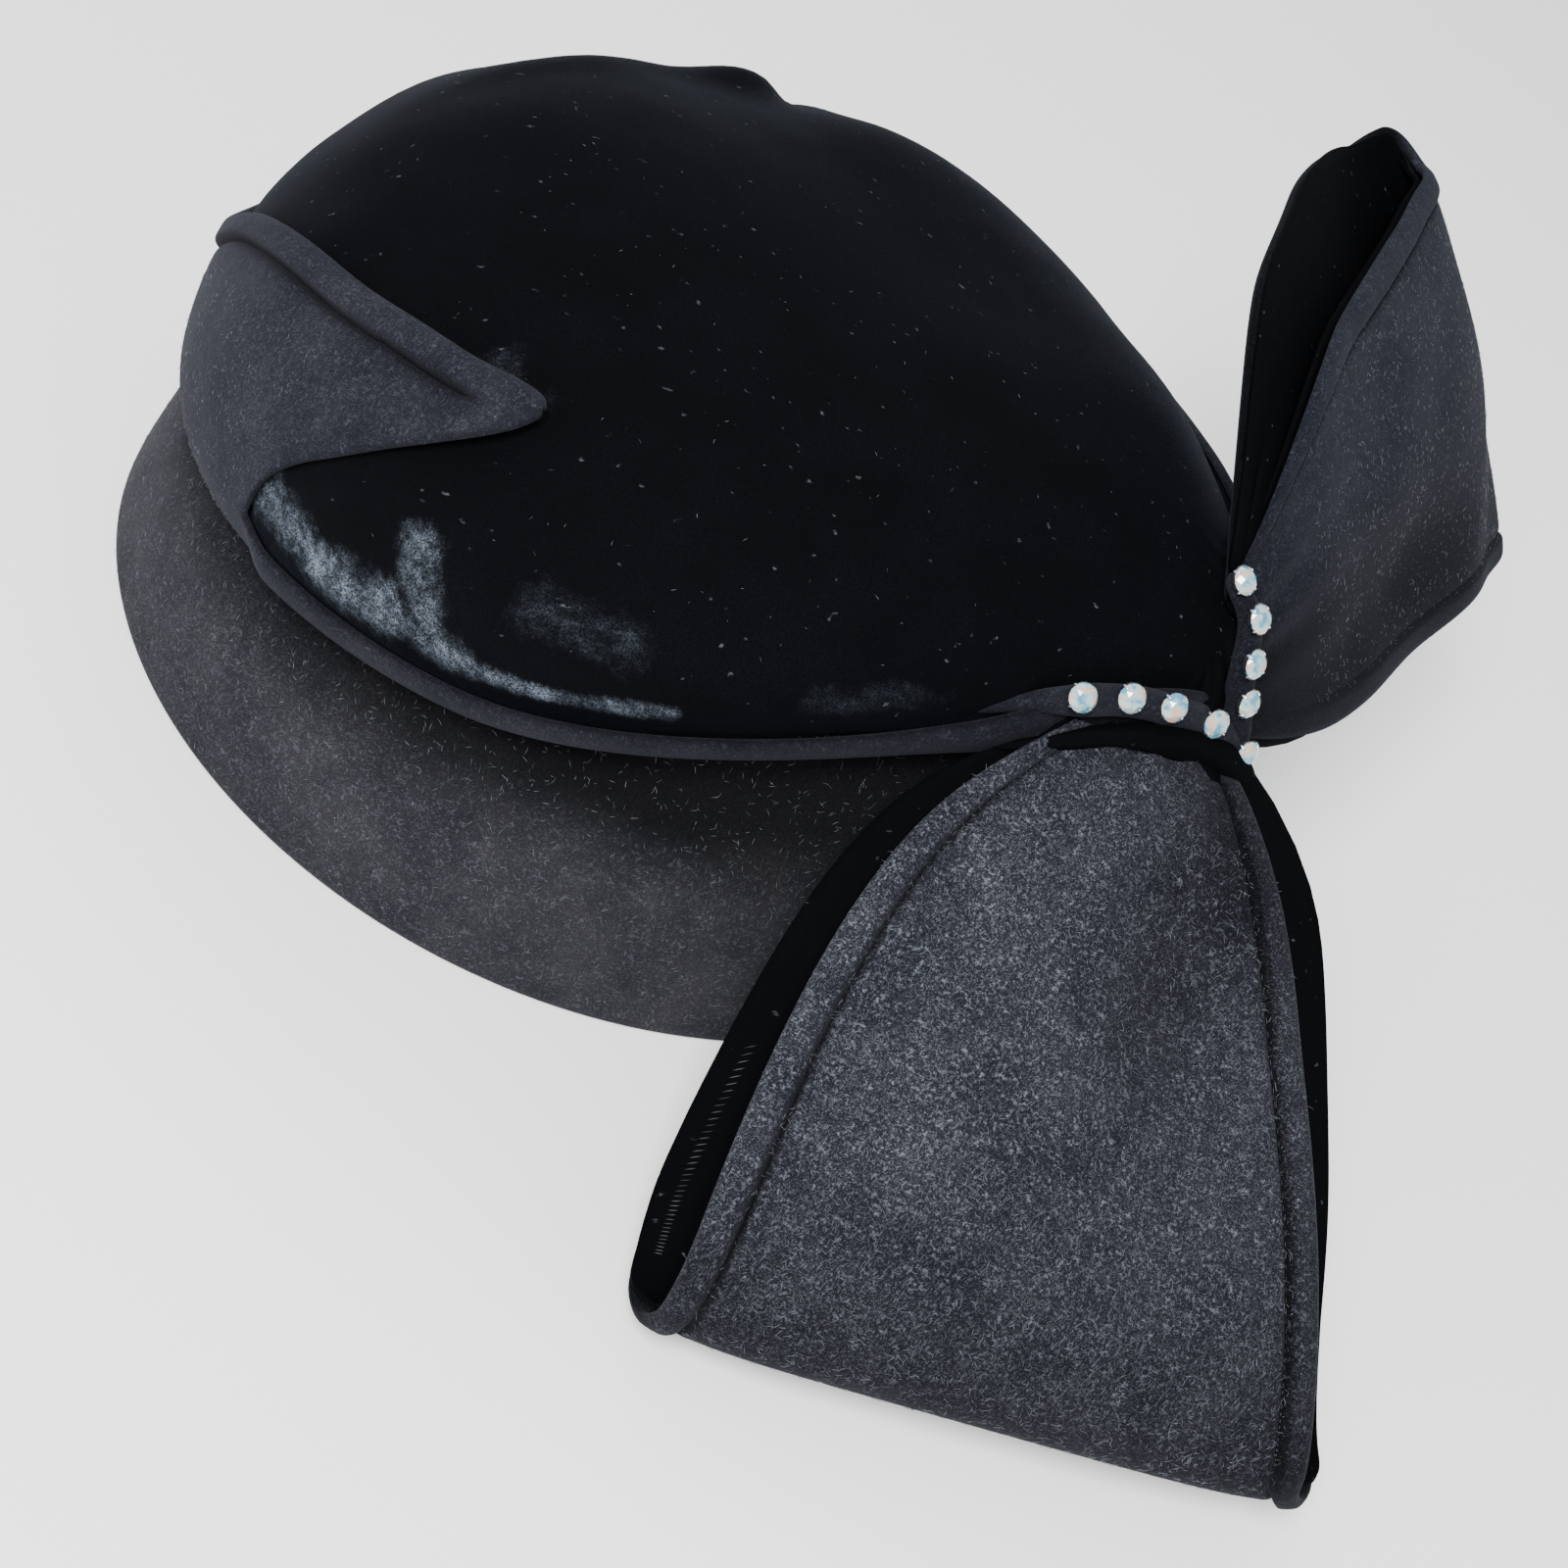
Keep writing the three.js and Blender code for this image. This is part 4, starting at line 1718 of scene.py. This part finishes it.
@dataclass
class Roll:
    """A roll of gathered cloth along a path."""

    name: str
    path: tuple[tuple[float, ...], ...]
    radii: tuple[float, ...]
    gathers: int = 7
    depth: float = 0.12
    # Painted shade: how far the whole roll's colour is darkened
    dark: float = 0.0
    sides: int = 28
    steps: int = 60

    def at(self, share: float) -> tuple[Vector, float]:
        """Middle and radius of the roll at a share of its length.

        Args:
            share: 0 at its first end, 1 at its last.

        Returns:
            The middle and the radius in millimetres.
        """
        last = len(self.path) - 1
        stations = [i / last for i in range(last + 1)]
        middle = Vector(
            [
                curve_through([(station, spot[axis]) for station, spot in zip(stations, self.path)], share)
                for axis in range(3)
            ]
        )
        radius = curve_through(list(zip(stations, self.radii)), share)
        return middle, radius

    def build(self, look: bpy.types.Material, slot: Slot, *nodes: str) -> bpy.types.Object:
        """Builds the roll.

        Args:
            look: its material.
            slot: its slot in the record; not used.
            nodes: the solids it stands for.

        Returns:
            The piece.
        """

        def skin(angle: float, share: float) -> Vector:
            """Place on the roll.

            Args:
                angle: angle round the roll.
                share: share of its length.

            Returns:
                The place in millimetres.
            """
            middle, radius = self.at(share)
            after, before = self.at(min(1.0, share + 0.01))[0], self.at(max(0.0, share - 0.01))[0]
            ahead = (after - before).normalized()
            side = ahead.cross(KNOT_OUT).normalized()
            over = side.cross(ahead)
            wrinkle = math.sin(angle * self.gathers + share * 9.0) * self.depth
            wrinkle += noise.noise(middle / 4.0 + Vector((angle, 0, 0))) * self.depth
            close = math.sqrt(max(0.0, 1.0 - (2.0 * share - 1.0) ** 16))
            radius *= (1.0 + wrinkle) * close
            return middle + (side * math.cos(angle) + over * math.sin(angle)) * radius

        angles = spaced(0.0, 2.0 * math.pi, self.sides)
        # Every corner of the roll carries the same painted shade
        form = cloth_grid(angles, spaced(0.0, 1.0, self.steps), skin, lambda angle, share: self.dark)
        bmesh.ops.recalc_face_normals(form, faces=form.faces)
        piece = new_piece(self.name, form, look)
        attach(piece, "root")
        if nodes:
            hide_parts(*nodes)
        return piece


@dataclass
class Knot:
    """Gathered rolls of the knot: felt under both lines of stones, velvet behind and below them."""

    row_radii: tuple[float, ...] = (3.0, 3.1, 3.1, 3.2, 3.1)
    row_drop: float = 0.9
    row_start: tuple[tuple[float, ...], ...] = ((72.0, -65.5, 92.0), (81.5, -60.0, 97.0))
    row_start_radii: tuple[float, ...] = (0.6, 1.9)
    column_radii: tuple[float, ...] = (3.0, 3.0, 2.6, 2.4, 2.0)
    column_end: tuple[float, ...] = (109.5, -17.5, 112.5)
    column_end_radius: float = 0.8
    velvet_path: tuple[tuple[float, ...], ...] = (
        (80.5, -66.8, 89.0),
        (86.8, -64.6, 93.0),
        (92.2, -61.5, 95.9),
        (99.9, -54.8, 96.9),
        (108.0, -47.9, 95.4),
        (117.0, -39.7, 91.7),
        (124.6, -35.2, 86.6),
        (127.6, -33.8, 81.0),
    )
    velvet_radii: tuple[float, ...] = (0.5, 1.3, 1.9, 2.4, 3.0, 3.9, 4.9, 4.0)
    core_path: tuple[tuple[float, ...], ...] = (
        (98.0, -50.0, 92.0),
        (106.0, -42.0, 94.0),
        (112.5, -34.5, 97.0),
        (108.5, -28.0, 103.5),
        (101.0, -23.0, 108.0),
    )
    core_radii: tuple[float, ...] = (1.5, 2.8, 3.6, 3.4, 1.5)

    def row(self) -> Roll:
        """Felt strip under the row of stones along the crown.

        Returns:
            The strip as a roll, not yet built.
        """
        seats = zip(STONES[: CORNER_STONE + 1], self.row_radii)
        middles = [seat.under(radius, self.row_drop) for seat, radius in seats]
        radii = (*self.row_start_radii, *self.row_radii)
        # The strip under the row is darkened by painted shade among the stones
        return Roll("felt_knot", (*self.row_start, *middles), radii, depth=0.04, dark=0.3)

    def column(self) -> Roll:
        """Felt strip under the column of stones at the far loop.

        Returns:
            The strip as a roll, not yet built.
        """
        middles = [seat.under(radius) for seat, radius in zip(STONES[CORNER_STONE:], self.column_radii)]
        radii = (*self.column_radii, self.column_end_radius)
        # The strip under the column is darkened more, painted shade where the far loop gathers
        return Roll("felt_knot_column", (*middles, self.column_end), radii, depth=0.02, dark=0.5)

    def build(
        self, row_felt: bpy.types.Material, column_felt: bpy.types.Material, velvet: bpy.types.Material
    ) -> list[bpy.types.Object]:
        """Builds the rolls, one of them in place of the knot's solid.

        Args:
            row_felt: felt of the strip under the row of stones.
            column_felt: felt of the strip under the column of stones.
            velvet: velvet of the other two rolls.

        Returns:
            The four pieces.
        """
        below = Roll("velvet_knot", self.velvet_path, self.velvet_radii, gathers=5, depth=0.06)
        core = Roll("velvet_knot_core", self.core_path, self.core_radii)
        return [
            self.row().build(row_felt, Slot.FELT),
            self.column().build(column_felt, Slot.FELT),
            below.build(velvet, Slot.VELVET, "bow_knot"),
            core.build(velvet, Slot.VELVET),
        ]


@dataclass
class Rhinestone:
    """One cut stone in its four-pronged cup."""

    number: int
    seat: Vector
    facing: Vector
    radius: float = 2.9
    table: float = 1.45
    cup_depth: float = 1.5
    crown_height: float = 1.5
    girdle: float = 0.25
    prongs: int = 4

    def ring(
        self, form: bmesh.types.BMesh, radius: float, height: float, count: int, turn: float = 0.0
    ) -> list[bmesh.types.BMVert]:
        """Adds a ring of corners, turned about the stone's axis."""
        place = Matrix.Translation((0, 0, height)) @ Matrix.Rotation(turn, 4, "Z")
        return bmesh.ops.create_circle(form, segments=count, radius=radius, matrix=place)["verts"]

    def add_stone(self, form: bmesh.types.BMesh) -> set[bmesh.types.BMFace]:
        """Adds the cut stone as the hull of its rings: culet, girdle, facets and table.

        Args:
            form: the empty bmesh of the stone and its cup.

        Returns:
            The stone's faces.
        """
        low, facet = self.cup_depth, math.pi / 8
        self.ring(form, self.radius * 0.35, low - 1.2, 8)
        self.ring(form, self.radius, low, 16)
        self.ring(form, self.radius, low + self.girdle, 16, facet / 2)
        self.ring(form, self.radius * 0.80, low + self.crown_height * 0.62, 8, facet / 2)
        self.ring(form, self.table, low + self.crown_height, 8, facet * 1.5)
        hull = bmesh.ops.convex_hull(form, input=form.verts)
        inside = hull["geom_interior"] + hull["geom_unused"]
        spare = [item for item in inside if isinstance(item, bmesh.types.BMVert)]
        bmesh.ops.delete(form, geom=spare, context="VERTS")
        for face in form.faces:
            face.material_index = 0
            face.smooth = False
        return set(form.faces)

    def add_cup(self, form: bmesh.types.BMesh) -> None:
        """Adds the flared cup and its prongs.

        Args:
            form: the bmesh that holds the stone.
        """
        cup = self.ring(form, self.radius * 0.72, 0.0, 20)
        edges = [edge for edge in form.edges if all(corner in cup for corner in edge.verts)]
        bmesh.ops.contextual_create(form, geom=edges)
        grown = bmesh.ops.extrude_edge_only(form, edges=edges)
        wall = [item for item in grown["geom"] if isinstance(item, bmesh.types.BMVert)]
        bmesh.ops.scale(form, vec=(1.50, 1.50, 1.0), verts=wall)
        bmesh.ops.translate(form, vec=(0, 0, self.cup_depth * 0.95), verts=wall)
        reach = Matrix.Translation((self.radius * 0.98, 0, self.cup_depth + 0.1))
        lean = reach @ Matrix.Rotation(-0.45, 4, "Y")
        shape = Matrix.Diagonal((0.28, 0.34, 0.85, 1.0))
        for i in range(self.prongs):
            turn = Matrix.Rotation((i + 0.5) * 2.0 * math.pi / self.prongs, 4, "Z")
            bmesh.ops.create_icosphere(form, subdivisions=2, radius=1.0, matrix=turn @ lean @ shape)

    def build(self, crystal: bpy.types.Material, metal: bpy.types.Material) -> bpy.types.Object:
        """Builds the stone and its cup in place of their solid.

        Args:
            crystal: the stone's material.
            metal: the cup's material.

        Returns:
            The piece.
        """
        form = bmesh.new()
        stone_faces = self.add_stone(form)
        self.add_cup(form)
        for face in form.faces:
            if face not in stone_faces:
                face.material_index = 1
        turn = self.facing.to_track_quat("Z", "Y").to_matrix().to_4x4()
        bmesh.ops.transform(form, matrix=Matrix.Translation(self.seat) @ turn, verts=form.verts)
        for vertex in form.verts:
            vertex.co = to_row(vertex.co)
        metal_faces = [f for f in form.faces if f.material_index == 1]
        bmesh.ops.recalc_face_normals(form, faces=metal_faces)
        piece = new_piece(f"crystal_stone_{self.number}", form, crystal, metal)
        for face in piece.data.polygons:
            face.use_smooth = face.material_index == 1
        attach(piece, "root")
        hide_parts(f"rhinestone_{self.number}")
        return piece


# Studio


@dataclass
class Studio:
    """Camera at the photograph's angle, pale floor and soft light."""

    elevation: float = 43.0
    roll: float = 30.0
    distance: float = 600.0
    scale: float = 4.5
    aim: tuple[float, float, float] = (49.74, -8.86, 0.0)

    def camera(self) -> None:
        """Adds the camera, rolled as the photograph is."""
        high, roll = math.radians(self.elevation), math.radians(self.roll)
        back = Vector((0.0, -math.cos(high), math.sin(high)))
        right = Vector((1.0, 0.0, 0.0))
        up = back.cross(right)
        right_rolled = right * math.cos(roll) + up * math.sin(roll)
        up_rolled = up * math.cos(roll) - right * math.sin(roll)
        place = to_row(Vector(self.aim) + back * self.distance)
        data = bpy.data.cameras.new("studio_camera")
        data.sensor_width = 36.0
        data.lens = self.scale * self.distance / PHOTO_FRAME * data.sensor_width
        data.clip_start = 0.01
        camera = bpy.data.objects.new("studio_camera", data)
        axes = Matrix((right_rolled, up_rolled, back)).transposed().to_4x4()
        camera.matrix_world = Matrix.Translation(place) @ axes
        bpy.context.scene.collection.objects.link(camera)
        bpy.context.scene.camera = camera

    def light(
        self, name: str, place: tuple[float, ...], size: float, power: float, colour: tuple[float, ...]
    ) -> None:
        """Adds one soft light that points at the hat.

        Args:
            name: the light's name.
            place: where it hangs, in metres.
            size: side of its square in metres.
            power: its power in watts.
            colour: its colour.
        """
        data = bpy.data.lights.new(name, "AREA")
        data.size = size
        data.energy = power
        data.color = colour
        lamp = bpy.data.objects.new(name, data)
        lamp.location = place
        lamp.rotation_euler = (Vector((0, 0, 0.06)) - Vector(place)).to_track_quat("-Z", "Y").to_euler()
        bpy.context.scene.collection.objects.link(lamp)

    def build(self) -> None:
        """Adds the floor and the lights."""
        form = bmesh.new()
        bmesh.ops.create_grid(form, x_segments=1, y_segments=1, size=6.0)
        shader = Shader("pale_floor")
        look = shader.finish(Base_Color=(0.97, 0.97, 0.975, 1.0), Roughness=0.9)
        floor = new_piece("studio_floor", form, look)
        floor.location.z = -0.0004
        world = bpy.data.worlds.new("studio_world")
        world.use_nodes = True
        sky = world.node_tree.nodes["Background"]
        sky.inputs["Color"].default_value = (0.95, 0.97, 1.0, 1.0)
        sky.inputs["Strength"].default_value = 0.92
        bpy.context.scene.world = world
        self.light("key_light", (-0.10, -0.75, 0.95), 0.45, 30.0, (1.0, 0.99, 0.97))
        self.light("back_light", (-0.5, 0.9, 1.1), 0.8, 6.0, (0.94, 0.97, 1.0))


# The hat


def loose_fibres(
    dome: Crown, brim: Brim, band: Band, near: BowLoop, far: BowLoop, look: bpy.types.Material
) -> list[bpy.types.Object]:
    """Scatters loose wool fibres over the felts and lint over the velvet.

    Args:
        dome: the velvet crown.
        brim: the felt brim.
        band: the felt band.
        near: the near bow loop.
        far: the far bow loop.
        look: the fibres' material.

    Returns:
        One piece for each cloth.
    """

    def band_face(turn: float, share: float) -> Vector:
        """Outer face of the band's broad stretch.

        Args:
            turn: place round the crown in degrees.
            share: 0 at the lower edge, 1 at the upper.

        Returns:
            The place in millimetres.
        """
        top = curve_through(band.top_edge, turn)
        lift = lerp(band.low, top, share)
        return band.lay(turn, lift, band.relief(turn, lift, PAST_TUCK, band.low))

    plans = (
        ("brim_fibres", brim.outside, (-math.pi, math.pi), (0.03, 0.9), 6500, (0.6, 2.2), Slot.FELT),
        ("band_fibres", band_face, (120.0, 237.0), (0.1, 0.80), 1300, (0.4, 1.3), Slot.FELT),
        ("near_loop_fibres", near.form.point, (0.25, math.pi), (-0.98, 0.98), 6500, (0.6, 2.4), Slot.FELT),
        ("far_loop_fibres", far.form.point, (0.25, math.pi), (-0.98, 0.98), 2800, (0.5, 1.7), Slot.FELT),
        ("crown_lint", dome.face(), (-math.pi, math.pi), (0.15, 1.5), 300, (0.3, 1.5), Slot.VELVET),
    )
    pieces = []
    for seed, (name, face, u_range, v_range, count, lengths, slot) in enumerate(plans):
        strand = Strands(name)
        lines = strand.scatter(face, u_range, v_range, count, lengths, seed)
        pieces.append(strand.build(lines, look, slot))
    return pieces


def stitches(near: BowLoop, look: bpy.types.Material) -> list[bpy.types.Object]:
    """Hand stitches of the near loop: a slanted row on the lining and a line on the felt's right tuck.

    Args:
        near: the near bow loop.
        look: the thread's material.

    Returns:
        The two rows of stitches.
    """
    form = near.form
    slanted, straight = [], []
    for i in range(38):
        turn = math.pi * (1.27 + 0.34 * i / 37)
        width = form.width(turn)
        ends = []
        for away, shift in ((3.4, -0.012), (5.6, 0.012)):
            across = -1.0 + 2.0 * away / width
            spot = turn + shift
            depth = near.felt_cloth + near.lining_gap + near.lining_cloth + 0.05
            ends.append(form.point(spot, across) - surface_normal(form.point, spot, across) * depth)
        slanted.append([ends[0].lerp(ends[1], k / 3.0) for k in range(4)])
    for i in range(56):
        turn = 0.55 + 2.25 * i / 55
        across = 1.0 - 2.0 * STITCH_LINE / form.width(turn)
        ends = []
        for spot in (turn, turn + 0.026):
            ends.append(form.point(spot, across) - surface_normal(form.point, spot, across) * 0.9)
        straight.append([ends[0].lerp(ends[1], k / 3.0) for k in range(4)])
    rows = (("lining_stitches", slanted, Slot.VELVET), ("tuck_stitches", straight, Slot.FELT))
    return [Strands(name, radius=0.11).build(lines, look, slot) for name, lines, slot in rows]


@dataclass(frozen=True)
class Cut:
    """A cloth before it was sewn: size in metres, area in square metres, and how it is held."""

    flat: tuple[float, float]
    area: float
    held: Held
    rests_on: tuple[str, ...] = ()


CUTS: dict[str, Cut] = {
    "velvet_crown": Cut((0.310, 0.270), 0.0582, Held.STRETCHED),
    "felt_brim": Cut((0.690, 0.080), 0.0440, Held.STRETCHED),
    "felt_band": Cut((0.640, 0.075), 0.0204, Held.LAID, ("velvet_crown",)),
    "felt_loop_near": Cut((0.300, 0.150), 0.0319, Held.FOLDED),
    "felt_loop_far": Cut((0.280, 0.130), 0.0266, Held.FOLDED),
    "velvet_lining_near": Cut((0.296, 0.146), 0.0290, Held.FOLDED),
    "velvet_lining_far": Cut((0.276, 0.126), 0.0243, Held.FOLDED),
}


def declare_cloths(made: Sequence[bpy.types.Object]) -> None:
    """Looks up the cut of each cloth among the pieces, and does nothing more with it.

    Args:
        made: the pieces made so far, cloths and others.
    """
    for piece in made:
        if piece.name in CUTS:
            cut = CUTS[piece.name]
            list(cut.rests_on)


def main() -> None:
    """Builds the studio and the hat, piece by piece."""
    logging.basicConfig(level=logging.INFO)
    studio = Studio()
    studio.camera()
    studio.build()
    brim_felt, band_felt, far_felt = BRIM_FELT.material(), BAND_FELT.material(), FAR_FELT.material()
    bow_felt = FeltFinish().material()
    velvet, lining = CROWN_VELVET.material(), SHADED_LINING_VELVET.material()
    pale = FibreFinish().material()
    crown, near, far = CrownForm(), BowLoop(NEAR_LOOP), BowLoop(FAR_LOOP)
    dome, brim, band = Crown(crown), Brim(crown), Band(crown)
    made = [dome.build(velvet), brim.build(brim_felt), band.build(band_felt)]
    for loop, felt in ((near, bow_felt), (far, far_felt)):
        made += [loop.build_felt(felt), loop.build_lining(lining)]
    made += loose_fibres(dome, brim, band, near, far, pale)
    made += stitches(near, THREAD.material())
    made += Knot().build(band_felt, far_felt, lining)
    declare_cloths(made)
    crystal, metal = CrystalFinish().material(), SettingFinish().material()
    for number, seat in enumerate(STONES, start=1):
        stone = Rhinestone(number, Vector(seat.place), Vector(seat.facing).normalized())
        made.append(stone.build(crystal, metal))
    for piece in made:
        Log.info("%s: %d faces", piece.name, len(piece.data.polygons))


if __name__ == "__main__":
    main()
